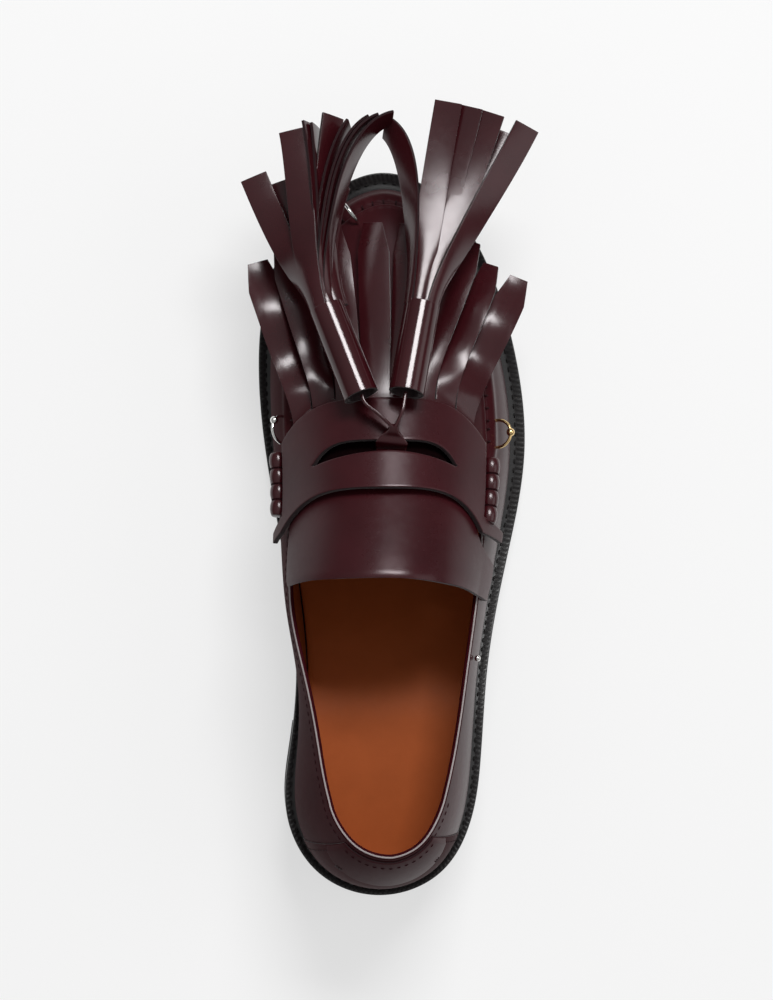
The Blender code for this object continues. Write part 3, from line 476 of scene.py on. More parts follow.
def fan_rib(pole, heading, end):
    """A rib that fans out round the toe or the heel."""
    spoke = fan_spoke(pole, heading)
    side, ahead = spoke.direction
    slope = (ridge(pole + SLOPE_SPAN) - ridge(pole - SLOPE_SPAN)) / (2 * SLOPE_SPAN) * ahead
    shape = [mixed(*values, abs(side)) for values in zip(end, side_shape(pole, side))]
    return make_rib(spoke, slope, *shape)


def rib_points(rib, shares, lifts=0.0):
    """Points on a rib, share 0 at the welt and 1 at the ridge, lifted off the surface."""
    shares = np.asarray(shares, float)
    rest = 1 - shares
    weights = np.array([rest ** 3, 3 * shares * rest ** 2, 3 * shares ** 2 * rest, shares ** 3])
    out = np.tensordot(rib.outs, weights, 1)
    up = np.tensordot(rib.ups, weights, 1)
    speeds = np.array([rest ** 2, 2 * shares * rest, shares ** 2])
    out_speed = np.tensordot(np.diff(rib.outs), speeds, 1)
    up_speed = np.tensordot(np.diff(rib.ups), speeds, 1)
    speed = np.hypot(out_speed, up_speed)
    out = out + lifts * up_speed / speed
    up = up - lifts * out_speed / speed
    x = rib.centre[0] + rib.heading[0] * out
    y = rib.centre[1] + rib.heading[1] * out - HEEL_CENTRE
    return np.stack([x, y, up], axis=-1)


def last_point(along, turn, lift=0.0):
    rib = side_rib(along, 1 if turn >= 0 else -1)
    return Vector(rib_points(rib, 1 - abs(turn), lift))


HEIGHT_MARKS = 201


def share_at_height(rib, height):
    shares = np.linspace(0, 1, HEIGHT_MARKS)
    return float(np.interp(height, rib_points(rib, shares)[:, 2], shares))


def line_share(rib):
    """Where the collar edge, or ahead of the throat the apron seam, crosses a rib."""
    if rib.foot <= THROAT:
        return share_at_height(rib, collar_height(rib.foot))
    ease = eased((rib.foot - THROAT) / SEAM_EASE)
    return mixed(share_at_height(rib, collar_height(THROAT)), SEAM_SHARE, ease)


# Materials

class Nodes:
    """Short hand for adding nodes in front of a shader."""

    def __init__(self, tree, shader, place):
        self.tree = tree
        self.shader = tree.nodes[shader]
        self.place = self.add("TexCoord", place, {})

    def feed(self, socket, value):
        """Links a socket to another node's output, or gives it a number or colour of its own."""
        if isinstance(value, bpy.types.NodeSocket):
            self.tree.links.new(value, socket)
        else:
            socket.default_value = value

    def add(self, kind, output, inputs, **settings):
        node = self.tree.nodes.new("ShaderNode" + kind)
        for name, value in settings.items():
            setattr(node, name, value)
        for name, value in inputs.items():
            self.feed(node.inputs[name], value)
        return node.outputs[output]

    def shade(self, **sockets):
        """Sets the shader's own sockets, named in small letters."""
        for name, value in sockets.items():
            self.feed(self.shader.inputs[name.replace("_", " ").title().replace("Ior", "IOR")], value)

    def part(self, axis):
        return self.add("SeparateXYZ", axis, {"Vector": self.place})

    def stretched(self, scale):
        return self.add("Mapping", "Vector", {"Scale": scale, "Vector": self.place})

    def noise(self, scale, detail=2.0, rough=0.5, vector=None):
        inputs = {"Scale": scale, "Detail": detail, "Roughness": rough, "Vector": vector or self.place}
        return self.add("TexNoise", "Fac", inputs)

    def cells(self, scale):
        inputs = {"Scale": scale, "Vector": self.place}
        return self.add("TexVoronoi", "Distance", inputs, feature="DISTANCE_TO_EDGE")

    def span(self, value, low, high, start=0.25, stop=0.75):
        inputs = {"Value": value, "From Min": start, "From Max": stop, "To Min": low, "To Max": high}
        return self.add("MapRange", "Result", inputs)

    def ramp(self, value, stops):
        colours = self.add("ValToRGB", "Color", {"Fac": value})
        scale = colours.node.color_ramp
        scale.interpolation = "B_SPLINE"
        while len(scale.elements) < len(stops):
            scale.elements.new(0.5)
        for element, (position, colour) in zip(scale.elements, stops):
            element.position = position
            element.color = (*colour, 1)
        return colours

    def mottle(self, scale, detail, rough, dark, light, spread=0.2):
        """Base colour that wanders between a dark and a light tone."""
        stops = [(0.5 - spread, dark), (0.5 + spread, light)]
        self.shade(base_color=self.ramp(self.noise(scale, detail, rough), stops))

    def bump(self, height, distance, strength, under=None):
        inputs = {"Distance": distance, "Strength": strength, "Height": height}
        if under:
            inputs["Normal"] = under
        return self.add("Bump", "Normal", inputs)


def new_material(name, colour, roughness, **sockets):
    """Material with a plain shader, and the nodes that feed it."""
    material = bpy.data.materials.new(name)
    material.use_nodes = True
    nodes = Nodes(material.node_tree, "Principled BSDF", "Object")
    nodes.shade(base_color=(*colour, 1), roughness=roughness, **sockets)
    return material, nodes


Polish = namedtuple("Polish", "across roughness")
POLISH_SPAN = 100 * MM
POLISH_WEAR = 0.02
BURGUNDY = (0.03, 0.0035, 0.0055)
DARK_BURGUNDY = (0.026, 0.0024, 0.0040)
LIGHT_BURGUNDY = (0.042, 0.0050, 0.0076)


def polished_leather(name, shine, tint, *polish):
    """Burgundy leather with its mirror image's strength and tint, and its roughness at places across."""
    shine = {"specular_ior_level": shine, "specular_tint": (*tint, 1)}
    material, nodes = new_material(name, BURGUNDY, polish[0][1], **shine)
    nodes.mottle(38, 4, 0.6, DARK_BURGUNDY, LIGHT_BURGUNDY)
    across = nodes.span(nodes.part("X"), 0, 1, -POLISH_SPAN / 2, POLISH_SPAN / 2)
    stops = [(0.5 + p.across * MM / POLISH_SPAN, [p.roughness] * 3) for p in table(Polish, *polish)]
    worn = nodes.span(nodes.noise(420, 3), -POLISH_WEAR, POLISH_WEAR)
    both = {0: nodes.ramp(across, stops), 1: worn}
    nodes.shade(roughness=nodes.add("Math", "Value", both, operation="ADD"))
    wave = nodes.bump(nodes.noise(95, 2, 0.4), 0.30 * MM, 0.3)
    grain = nodes.bump(nodes.cells(1500), 0.04 * MM, 0.25, wave)
    nodes.shade(normal=nodes.bump(nodes.noise(3200, 3), 0.03 * MM, 0.3, grain))
    return material


def suede(name, dark, light, fuzz=0.25):
    fuzz = {"sheen_weight": fuzz, "sheen_roughness": 0.4, "specular_ior_level": fuzz}
    material, nodes = new_material(name, light, 0.95, **fuzz)
    nodes.mottle(900, 5, 0.7, dark, light)
    nodes.shade(normal=nodes.bump(nodes.noise(2400, 4, 0.7), 0.2 * MM, 0.6))
    return material


def lining_leather(name, dark, light):
    material, nodes = new_material(name, light, 0.5, specular_ior_level=0.1)
    nodes.mottle(60, 5, 0.62, dark, light, 0.22)
    nodes.shade(roughness=nodes.span(nodes.noise(500, 3), 0.38, 0.55))
    grain = nodes.bump(nodes.cells(1900), 0.06 * MM, 0.5)
    nodes.shade(normal=nodes.bump(nodes.noise(180, 3), 0.3 * MM, 0.06, grain))
    return material


def sole_leather(name, dark, light, roughness):
    material, nodes = new_material(name, light, roughness, coat_weight=0.15, coat_roughness=0.3)
    nodes.mottle(300, 5, 0.65, dark, light)
    nodes.shade(roughness=nodes.span(nodes.noise(700, 3), roughness - 0.08, roughness + 0.1))
    fibres = nodes.noise(2500, 3, 0.6, nodes.stretched((1, 1, 4)))
    nodes.shade(normal=nodes.bump(fibres, 0.1 * MM, 0.4))
    return material


def thread_material(name, colour):
    material, nodes = new_material(name, colour, 0.6, specular_ior_level=0.08)
    dark = tuple(0.6 * value for value in colour)
    nodes.mottle(3500, 2, 0.5, dark, colour, 0.15)
    nodes.shade(normal=nodes.bump(nodes.noise(5200, 2), 0.1 * MM, 0.5))
    return material


def metal_material(name, colour, roughness):
    material, nodes = new_material(name, colour, roughness, metallic=1.0)
    nodes.shade(roughness=nodes.span(nodes.noise(1800, 3), roughness - 0.06, roughness + 0.08))
    nodes.shade(normal=nodes.bump(nodes.noise(2600, 3), 0.02 * MM, 0.3))
    return material


LEATHER = polished_leather("polished_leather", 0.5, (1, 0.96, 0.975), (-50, 0.22), (50, 0.22))
TUBE_LEATHER = polished_leather("tube_leather", 0.55, (1, 0.96, 0.97), (-50, 0.12), (50, 0.12))
STRAP_POLISH = [(-38, 0.62), (-12, 0.24), (20, 0.24), (42, 0.48)]
STRAP_LEATHER = polished_leather("strap_leather", 0.36, (1, 0.9, 0.93), *STRAP_POLISH)
WALL_LEATHER = polished_leather("wall_leather", 0.1, (1, 0.85, 0.9), (-24, 0.8), (6, 0.32))
DULL_LEATHER = polished_leather("dull_leather", 0.01, (1, 0.85, 0.9), (-50, 0.45), (50, 0.45))
SUEDE = suede("suede_back", (0.026, 0.014, 0.016), (0.052, 0.032, 0.035))
CUT_EDGE = suede("cut_edge", (0.012, 0.004, 0.005), (0.024, 0.009, 0.011))
# Near-black suede for the kiltie band under the strap, seen only through the slots: painted shade for the
# deep shadow there.
PAINTED_SHADE_SUEDE = suede("dark_suede", (0.003, 0.001, 0.0012), (0.007, 0.0025, 0.003), 0)
LINING = lining_leather("lining_leather", (0.22, 0.048, 0.012), (0.27, 0.060, 0.015))
INSOLE_LEATHER = lining_leather("insole_leather", (0.33, 0.074, 0.018), (0.40, 0.092, 0.023))
BLACK_EDGE = sole_leather("black_edge", (0.006, 0.0055, 0.006), (0.012, 0.011, 0.0115), 0.4)
WELT_LEATHER = sole_leather("welt_leather", (0.006, 0.0055, 0.006), (0.013, 0.0115, 0.012), 0.45)
RUBBER = sole_leather("heel_rubber", (0.008, 0.008, 0.008), (0.016, 0.016, 0.016), 0.68)
THREAD = thread_material("burgundy_thread", (0.024, 0.0035, 0.0055))
# Pale colour of the thin strip on the collar's rim: a painted highlight along the topline.
PAINTED_HIGHLIGHT_EDGE = thread_material("pale_edge", (0.42, 0.37, 0.37))
BLACK_THREAD = thread_material("black_thread", (0.018, 0.016, 0.016))
METALS = {
    "gold": metal_material("gold", (0.80, 0.56, 0.26), 0.16),
    "silver": metal_material("silver", (0.80, 0.79, 0.77), 0.14),
}


# Meshes

def add_item(name, data):
    item = bpy.data.objects.new(name, data)
    bpy.context.scene.collection.objects.link(item)
    return item


def make_piece(
    name, grids, looks, slot, replaces=(), body=BODY,
    closed=True, caps=False, flip=False, sharp=40,
):
    """Welded mesh that rides on a body, from grids of points, their rows being rings in a closed piece."""
    mesh_data = bmesh.new()
    for grid in grids:
        rows = [[mesh_data.verts.new(tuple(point)) for point in row] for row in grid]
        width = len(rows[0])
        faces = []
        for low, high in zip(rows, rows[1:]):
            for j in range(width if closed else width - 1):
                k = (j + 1) % width
                faces.append((low[j], low[k], high[k], high[j]))
        if caps:
            faces.append([mesh_data.verts.new(tuple(point)) for point in grid[0]])
            faces.append([mesh_data.verts.new(tuple(point)) for point in grid[-1]][::-1])
        for face in faces:
            mesh_data.faces.new(face[::-1] if flip else face)
    bmesh.ops.remove_doubles(mesh_data, verts=mesh_data.verts, dist=WELD)
    bmesh.ops.dissolve_degenerate(mesh_data, edges=mesh_data.edges, dist=WELD / 20)
    if closed:
        bmesh.ops.recalc_face_normals(mesh_data, faces=mesh_data.faces)
    mesh = bpy.data.meshes.new(name)
    mesh_data.to_mesh(mesh)
    mesh_data.free()
    mesh.shade_smooth()
    if closed:
        mesh.set_sharp_from_angle(angle=math.radians(sharp))
    for look in looks:
        mesh.materials.append(look)
    item = add_item(name, mesh)
    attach(item, body)
    if replaces:
        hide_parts(*replaces)
    return item


def sheet_piece(
    name, grids, thickness, looks, replaces=(), bevel=0.25 * MM, flip=False, slot="upper_leather",
):
    """Leather sheet with a wall behind it and rounded cut edges: face, back and rim looks, or one for all."""
    item = make_piece(name, grids, looks, slot, replaces, closed=False, flip=flip)
    wall = item.modifiers.new("wall", "SOLIDIFY")
    wall.thickness = thickness
    wall.offset = -1
    if len(looks) > 1:
        wall.material_offset = 1
        wall.material_offset_rim = 2
    if bevel:
        edge = item.modifiers.new("edge", "BEVEL")
        edge.width = bevel
        edge.segments = 2
        edge.limit_method = "ANGLE"
        edge.angle_limit = math.radians(50)
    item.modifiers.new("shade", "WEIGHTED_NORMAL")


def leather_sheet(name, grids, thickness, face, *options, **more):
    sheet_piece(name, grids, thickness, [face, SUEDE, CUT_EDGE], *options, **more)


def ring_angles(count):
    return np.linspace(0, 2 * math.pi, count, endpoint=False)


def circle(centre, side, up, radius, angles):
    return [centre + (side * math.cos(a) + up * math.sin(a)) * radius for a in angles]


def path_lengths(path):
    """How far along a path each of its points lies."""
    return np.concatenate([[0], np.cumsum(np.linalg.norm(np.diff(path, axis=0), axis=1))])


STITCH_SHARES = np.linspace(0, 1, 6)
STITCH_SIDES = 6
STITCH_ARCH = 1.5
STITCH_SINK = 0.9
STITCH_END = 0.05


def stitch(start, end, up, radius):
    """Rings of one bar of thread that dips into the leather at both ends."""
    ahead = end - start
    up = up - ahead * (up @ ahead) / (ahead @ ahead)
    up /= np.linalg.norm(up)
    side = np.cross(ahead / np.linalg.norm(ahead), up)
    rows = []
    for share in STITCH_SHARES:
        swell = math.sin(math.pi * share) ** 0.5
        centre = start + ahead * share + up * radius * (STITCH_ARCH * swell - STITCH_SINK)
        rows.append(circle(centre, side, up, radius * max(swell, STITCH_END), ring_angles(STITCH_SIDES)))
    return rows


Sewing = namedtuple("Sewing", "length gap radius")


def stitch_row(path, ups, sewing):
    """Stitches at an even pitch along a path of points."""
    stops = path_lengths(path)
    count = int(stops[-1] // (sewing.length + sewing.gap))
    pitch = stops[-1] / count

    def at(distance, points):
        return np.array([np.interp(distance, stops, column) for column in np.transpose(points)])

    rows = []
    for i in range(count):
        start = i * pitch + sewing.gap / 2
        end = start + sewing.length
        middle = start + sewing.length / 2
        rows.append(stitch(at(start, path), at(end, path), at(middle, ups), sewing.radius))
    return rows


def by_rows(columns):
    """Grid in rows from one that was gathered in columns."""
    return np.array(columns).transpose(1, 0, 2)


# Plan of the sole's pieces, which are turned about the spine like the ribs of the upper

def spread(low, high, step):
    return np.linspace(low, high, max(int(round(abs(high - low) / step)), 1) + 1)


def spokes(step, fan_step):
    """Spokes in order: outer side, heel, inner side, toe."""
    sides = spread(HEEL_POLE, TOE_POLE, step)
    result = [side_spoke(along, 1) for along in sides[::-1]]
    result += [fan_spoke(HEEL_POLE, h) for h in spread(math.pi / 2, 3 * math.pi / 2, fan_step)[1:-1]]
    result += [side_spoke(along, -1) for along in sides]
    result += [fan_spoke(TOE_POLE, h) for h in spread(-math.pi / 2, math.pi / 2, fan_step)[1:-1]]
    return result


def spoke_point(spoke, out, height):
    """Point at a distance out from the spine, its height given by a function of where it lies."""
    along = spoke.centre[1] + spoke.direction[1] * out
    return (spoke.centre[0] + spoke.direction[0] * out, along - HEEL_CENTRE, height(along))


Level = namedtuple("Level", "inset rise")
PLATE_STEP = 2.5 * MM
PLATE_FAN_STEP = 0.05
PLATE_SHARES = (0, 0.35, 0.7)


def plate_rows(loop, profile, base):
    """Rows of a plate: underside from the spine out, the edge's profile, and back over the top."""
    wheel = spokes(PLATE_STEP, PLATE_FAN_STEP)
    reaches = [spoke_reach(spoke, loop) for spoke in wheel]
    rows = [(profile[0], share) for share in PLATE_SHARES]
    rows += [(level, 1) for level in profile]
    rows += [(profile[-1], share) for share in PLATE_SHARES[::-1]]
    grid = []
    for level, share in rows:
        outs = [(reach - level.inset * MM) * share for reach in reaches]
        grid.append([spoke_point(s, out, lambda a: base(a) + level.rise * MM) for s, out in zip(wheel, outs)])
    return grid


# Outsole, heel, welt and insole: edge profiles are insets and rises in millimetres

OUTSOLE_PROFILE = table(
    Level,
    (7.4, 0), (7.1, 0), (6.9, 0.45), (6.5, 0.45), (6.3, 0), (1.6, 0), (0.7, 0.2), (0.2, 0.7), (0, 1.5),
    (0, 2.6), (0.25, 2.85), (0.25, 3.15), (0, 3.4), (0, 4.9), (0.15, 5.6), (0.6, 6.0),
)
INSOLE_PROFILE = table(
    Level, (0.6, 0), (0.1, 0.4), (0, 1.4), (0.1, 2.3), (0.5, 2.6), (3.0, 2.5), (9.0, 2.2),
)


def make_outsole():
    rows = plate_rows(SOLE_LOOP, OUTSOLE_PROFILE, underside)
    make_piece("outsole_leather", [rows], [BLACK_EDGE], "sole_edge", ["outsole"], sharp=50)


def make_insole():
    rows = plate_rows(INSOLE_LOOP, INSOLE_PROFILE, feather)
    make_piece("insole_sock", [rows], [INSOLE_LEATHER], "lining", ["insole"], sharp=60)


HEEL_MIDDLE = 34 * MM
HEEL_EDGE_POINTS = 121
HEEL_BREAST_POINTS = 25
HEEL_LAYERS = 4
LAYER_LINE = 0.22 * MM
LAYER_LINE_STEPS = ((-0.02, 0), (-0.008, 1), (0.008, 1), (0.02, 0))
LIFT_PROFILE = [
    (0, 0, 0), (0.55, 0, 0), (1, 1.0 * MM, 0), (1, 0.3 * MM, 0.25 * MM), (1, 0, 0.9 * MM),
    (1, 0, TOP_LIFT - 0.5 * MM), (1, 0.3 * MM, TOP_LIFT), (0.5, 0, TOP_LIFT), (0, 0, TOP_LIFT),
]


def heel_rows(levels):
    """Rows of the heel's D shape, each with its share of the reach, inset and height function."""
    front = HEEL_BREAST - HEEL_MIDDLE
    corners = [math.atan2(across_at(SOLE_LOOP, HEEL_BREAST, side), front) for side in (1, -1)]
    edge = np.linspace(corners[0], corners[1] + 2 * math.pi, HEEL_EDGE_POINTS)
    breast = np.linspace(corners[1], corners[0], HEEL_BREAST_POINTS)[1:-1]
    reaches = [reach_from(SOLE_LOOP, (0, HEEL_MIDDLE), heading) for heading in edge]
    reaches += [front / math.cos(heading) for heading in breast]
    rows = []
    for share, inset, height in levels:
        row = []
        for i, heading in enumerate([*edge, *breast]):
            pull = inset if 0 < i < HEEL_EDGE_POINTS - 1 else 0
            out = (reaches[i] - pull) * share
            along = HEEL_MIDDLE + math.cos(heading) * out
            row.append((math.sin(heading) * out, along - HEEL_CENTRE, height(along)))
        rows.append(row)
    return rows


def make_heel():
    def stack(share, inset, part):
        def height(along):
            return mixed(TOP_LIFT + CLEARANCE, underside(along) - CLEARANCE, part)
        return share, inset + HEEL_TAPER * (1 - part), height

    def flat(share, inset, height):
        return share, inset, lambda along: height

    levels = [stack(0, 0, 0), stack(0.6, 0, 0), stack(1, 0, 0)]
    for i in range(1, HEEL_LAYERS):
        levels += [stack(1, LAYER_LINE * deep, i / HEEL_LAYERS + step) for step, deep in LAYER_LINE_STEPS]
    levels += [stack(1, 0, 1), stack(0.6, 0, 1), stack(0, 0, 1)]
    make_piece("heel_stack", [heel_rows(levels)], [BLACK_EDGE], "sole_edge", ["heel_block"])
    levels = [flat(*level) for level in LIFT_PROFILE]
    make_piece("heel_lift", [heel_rows(levels)], [RUBBER], "heel_rubber", ["top_lift"])


WELT_STEP = 0.5 * MM
WELT_FAN_STEP = 0.011
WHEEL_PITCH = 1.9 * MM
WHEEL_DEPTH = 0.22 * MM
WHEEL_SHARPNESS = 1.6
WELT_EDGE = [(0.3 * MM, 0), (0, 0.3 * MM), (0, WELT - 0.7 * MM), (0.1 * MM, WELT - 0.25 * MM)]
WELT_RIM = 0.5 * MM
WELT_RIM_SHARE = 0.2
WELT_RIM_DROP = 0.05 * MM
WELT_RIM_SLANT = 1.4
WHEELED_SHARE = 0.42
GROOVE_SHARE = 0.58
GROOVE_END_SHARES = (0.72, 0.8)
GROOVE_SLANT = 1.15
WELT_GROOVE = 0.3 * MM
WELT_GROOVE_INSIDE = 0.35 * MM
WELT_UNDER_UPPER = 1.5 * MM
WELT_SEWING = Sewing(2.6 * MM, 1.0 * MM, 0.32 * MM)


def make_welt():
    """Welt with a wheeled top: pressed notches across it, and a row of stitches in a groove."""
    wheel = spokes(WELT_STEP, WELT_FAN_STEP)
    outer, foot, inner = (
        [spoke_reach(spoke, loop) for spoke in wheel] for loop in (SOLE_LOOP, FEATHER_LOOP, WELT_INNER_LOOP)
    )
    edge = np.array([spoke_point(s, o, welt_bottom) for s, o in zip(wheel, outer)])
    stops = path_lengths([*edge, edge[0]])
    marks = round(stops[-1] / WHEEL_PITCH)
    press = np.clip(np.cos(stops / stops[-1] * marks * 2 * math.pi) * WHEEL_SHARPNESS, -1, 1) * 0.5 - 0.5
    columns = []
    path = []
    for i, spoke in enumerate(wheel):
        def at(inset, rise):
            return spoke_point(spoke, outer[i] - inset, lambda a: welt_bottom(a) + rise)

        width = outer[i] - foot[i]
        whole = outer[i] - inner[i]
        notch = WELT + press[i] * WHEEL_DEPTH
        rim = min(WELT_RIM, width * WELT_RIM_SHARE)
        stop = width * WHEELED_SHARE
        low, high = (width * share for share in GROOVE_END_SHARES)
        profile = WELT_EDGE + [(rim, WELT - WELT_RIM_DROP), (rim * WELT_RIM_SLANT, notch), (stop, notch)]
        profile += [(stop * GROOVE_SLANT, WELT - WELT_GROOVE), (low, WELT - WELT_GROOVE_INSIDE), (high, WELT)]
        profile += [(width + WELT_UNDER_UPPER, WELT), (whole, WELT), (whole, 0), WELT_EDGE[0]]
        columns.append([at(*spot) for spot in profile])
        path.append(at(width * GROOVE_SHARE, WELT - WELT_GROOVE))
    make_piece("welt_strip", [by_rows(columns)], [WELT_LEATHER], "welt", ["welt"], sharp=50)
    path.append(path[0])
    bars = stitch_row(path, [(0, 0, 1)] * len(path), WELT_SEWING)
    make_piece("welt_stitches", bars, [BLACK_THREAD], "welt", caps=True)


# Upper

# Folds of leather along the apron seam in millimetres, those that pucker at each stitch marked 1
SeamFold = namedtuple("SeamFold", "lift past width puckers")
SEAM_FOLDS = table(
    SeamFold,
    (1.0, -4.4, 2.6, 0), (-0.9, 0, 0.9, 0), (0.45, 1.9, 1.1, 0), (-0.35, -2.0, 1.3, 1), (-0.2, 2.2, 1.2, 1),
)
SEAM_PITCH = 4.4
UPPER_SHELL = 0.8 * MM
FOLD = 0.5 * MM
FOLD_DEPTH = 3.4 * MM
FOLD_LAP = 0.4 * MM
FOLD_ROOM = 0.25 * MM
LINING_SHELL = 0.7 * MM
# Thin pale strip laid over the outer shoulder of the collar fold, where its highlight falls: a painted
# highlight.
PAINTED_HIGHLIGHT_LINE = 0.12 * MM
PAINTED_HIGHLIGHT_LIFT = 0.08 * MM
PAINTED_HIGHLIGHT_ANGLES = np.linspace(0.22, 0.42, 5) * math.pi
FOLD_ANGLES = np.linspace(0, 1, 9) * math.pi
TUCK_ROWS = 4
COLLAR_SEWING = Sewing(2.2 * MM, 0.9 * MM, 0.13 * MM)
COLLAR_SEWING_LIFT = 0.05 * MM
STITCH_BELOW_COLLAR = 4.6 * MM
SEAM_STITCH = (-2.2 * MM, 1.9 * MM)
SEAM_STITCH_LIFT = 0.1 * MM
SEAM_THREAD = 0.32 * MM
FAN_STEP = 0.028
SIDE_STEP = 1.6 * MM
RULER_MARKS = 161
ROWS = np.linspace(0, 1, 46)
CROWDING = 1.7


def upper_ribs():
    """Ribs in order: outer quarter, heel, inner quarter, inner vamp, toe, outer vamp."""
    quarter = spread(THROAT, HEEL_POLE, SIDE_STEP)[:-1]
    vamp = spread(THROAT, TOE_POLE, SIDE_STEP)[1:-1]
    heel = [fan_rib(HEEL_POLE, h, HEEL_END) for h in spread(math.pi / 2, 3 * math.pi / 2, FAN_STEP)]
    toe = [fan_rib(TOE_POLE, h, TOE_END) for h in spread(-math.pi / 2, math.pi / 2, FAN_STEP)]
    back = [side_rib(along, 1) for along in quarter] + heel
    back += [side_rib(along, -1) for along in quarter[::-1]]
    front = [side_rib(along, -1) for along in [THROAT, *vamp]] + toe
    front += [side_rib(along, 1) for along in [*vamp[::-1], THROAT]]
    return back, front


def rib_ruler(rib):
    """How far up a rib its collar or seam and its ridge lie, and its points by distance and lift."""
    shares = np.linspace(0, 1, RULER_MARKS)
    lengths = path_lengths(rib_points(rib, shares))

    def on_rib(distances, lifts=0.0):
        return rib_points(rib, np.interp(distances, lengths, shares), lifts)

    return np.interp(line_share(rib), shares, lengths), lengths[-1], on_rib


def seam_relief(distance, arc):
    """Lift of the leather by the apron seam, from millimetres past the seam and along it."""
    wave = 0.5 + 0.5 * math.cos(2 * math.pi * arc / SEAM_PITCH)
    humps = [fold.lift * hump(distance - fold.past, fold.width) for fold in SEAM_FOLDS]
    return MM * sum(height * (wave if fold.puckers else 1) for fold, height in zip(SEAM_FOLDS, humps))


def quarter_columns(rib):
    """Wall, fold, painted highlight line, lining and stitch line on a rib whose leather folds over the
    collar.
    """
    top, _, on_rib = rib_ruler(rib)
    radius = WALL / 2

    def over_collar(angles, lift=0.0):
        return on_rib(top - radius + radius * np.sin(angles), radius * (np.cos(angles) - 1) + lift)

    wall = on_rib((top - radius) * (1 - (1 - ROWS) ** CROWDING))
    inside = on_rib(np.linspace(top - radius, top - FOLD_DEPTH, TUCK_ROWS)[1:], -WALL)
    fold = np.concatenate([over_collar(FOLD_ANGLES), inside])
    # Pale strip over the fold's outer shoulder: painted highlight.
    painted_highlight = over_collar(PAINTED_HIGHLIGHT_ANGLES, PAINTED_HIGHLIGHT_LIFT)
    lining = on_rib((top - FOLD_DEPTH + FOLD_LAP) * ROWS[1:], -WALL + FOLD_ROOM)
    spot, above = (on_rib(top - STITCH_BELOW_COLLAR, lift) for lift in (COLLAR_SEWING_LIFT, MM))
    return wall, fold, painted_highlight, lining, spot, above - spot


def vamp_columns(rib, arc):
    """Wall, apron and their linings on a rib that the apron seam crosses."""
    top, ridge_at, on_rib = rib_ruler(rib)
    fade = float(eased((rib.foot - THROAT) / SEAM_EASE))
    start = top - WALL / 2
    below = start * (1 - (1 - ROWS) ** CROWDING)
    over = start + (ridge_at - start) * ROWS ** CROWDING
    outside = [on_rib(part, fade * seam_relief((part - top) / MM, arc)) for part in (below, over)]
    return *outside, on_rib(top * ROWS[1:], -WALL), on_rib(over, -WALL)


def seam_stitch(rib):
    """Hand stitch across the apron seam."""
    top, _, on_rib = rib_ruler(rib)
    start, end = (on_rib(top + past, SEAM_STITCH_LIFT) for past in SEAM_STITCH)
    up = on_rib(top + SEAM_STITCH[0], MM) - on_rib(top + SEAM_STITCH[0])
    return stitch(start, end, up, SEAM_THREAD)


def make_upper():
    back, front = upper_ribs()
    arcs = path_lengths([rib_points(rib, line_share(rib)) for rib in front]) / MM
    walls, folds, painted_highlight_lines, linings, path, ups = zip(*[quarter_columns(rib) for rib in back])
    columns = [vamp_columns(rib, arc) for rib, arc in zip(front, arcs)]
    vamps, aprons, vamp_linings, apron_linings = zip(*columns)
    shell = [by_rows(part) for part in (walls, vamps, aprons)]
    leather_sheet("upper_leather_shell", shell, UPPER_SHELL, WALL_LEATHER, ["upper"], 0, True)
    leather_sheet("collar_binding", [by_rows(folds)], FOLD, DULL_LEATHER, (), 0, True)
    # Pale strip along the collar's rim: painted highlight.
    sheet_piece("collar_edge", [by_rows(painted_highlight_lines)], PAINTED_HIGHLIGHT_LINE, [PAINTED_HIGHLIGHT_EDGE], (), 0, True)
    inside = [by_rows(part) for part in (linings, vamp_linings, apron_linings)]
    sheet_piece("lining_shell", inside, LINING_SHELL, [LINING], (), 0, slot="lining")
    first = next(i for i, rib in enumerate(back) if rib.heading[1] < 0)
    bars = stitch_row(path[first:], ups[first:], COLLAR_SEWING)
    make_piece("collar_stitches", bars, [THREAD], "upper_leather", caps=True)
    marks = np.arange(SEAM_PITCH, arcs[-1], SEAM_PITCH)
    ribs = [front[int(np.argmin(abs(arcs - mark)))] for mark in marks]
    bars = [seam_stitch(rib) for rib in ribs if rib.foot >= THROAT + SEAM_EASE]
    make_piece("apron_stitches", bars, [THREAD], "upper_leather", caps=True)


STRIP_LIFT = 0.5 * MM
STRIP_TOP = 0.945
STRIP_BEVEL = 0.15 * MM
TAB = 0.9 * MM
TAB_BEVEL = 0.2 * MM
TAB_WIDTH = 0.985
TAB_EDGE = 0.54
TAB_EDGE_RISE = 0.2
TAB_SIDE_EASE = 0.1
TAB_TOP_PRESS = 0.8
TACK_TURN = 0.65
TACK_PITCH = 0.03
TACK_REACH = 0.05
TACK_LIFT = 0.2 * MM
TACK_UP = 3 * MM
TACK_THREAD = 0.45 * MM
BACK_SEWING = Sewing(2.0 * MM, 0.9 * MM, 0.2 * MM)
BACK_SEWING_AXIS = (0, 4 * MM, 0)
BACK_SEWING_RISE = 0.3 * MM
BACK_SEAM_INSET = 4
TAB_SEAM_ROW = -5
BACK_TURNS = np.linspace(-1, 1, 91)
BACK_ROWS = np.linspace(0, 1, 41)
TAB_ROWS = np.linspace(0, 1, 24)


def back_point(turn, up, lift):
    """Point over the back strip, turn running from side to side and up from sole to collar."""
    half = BACK_HALF_ANGLE * (1 - BACK_TOP_NARROWING * up ** 2)
    rib = fan_rib(HEEL_POLE, math.pi + half * turn, HEEL_END)
    return rib_points(rib, mixed(BACK_FROM, STRIP_TOP, up) * line_share(rib), STRIP_LIFT + lift)


def tab_edge(turn):
    return TAB_EDGE + TAB_EDGE_RISE * turn * turn


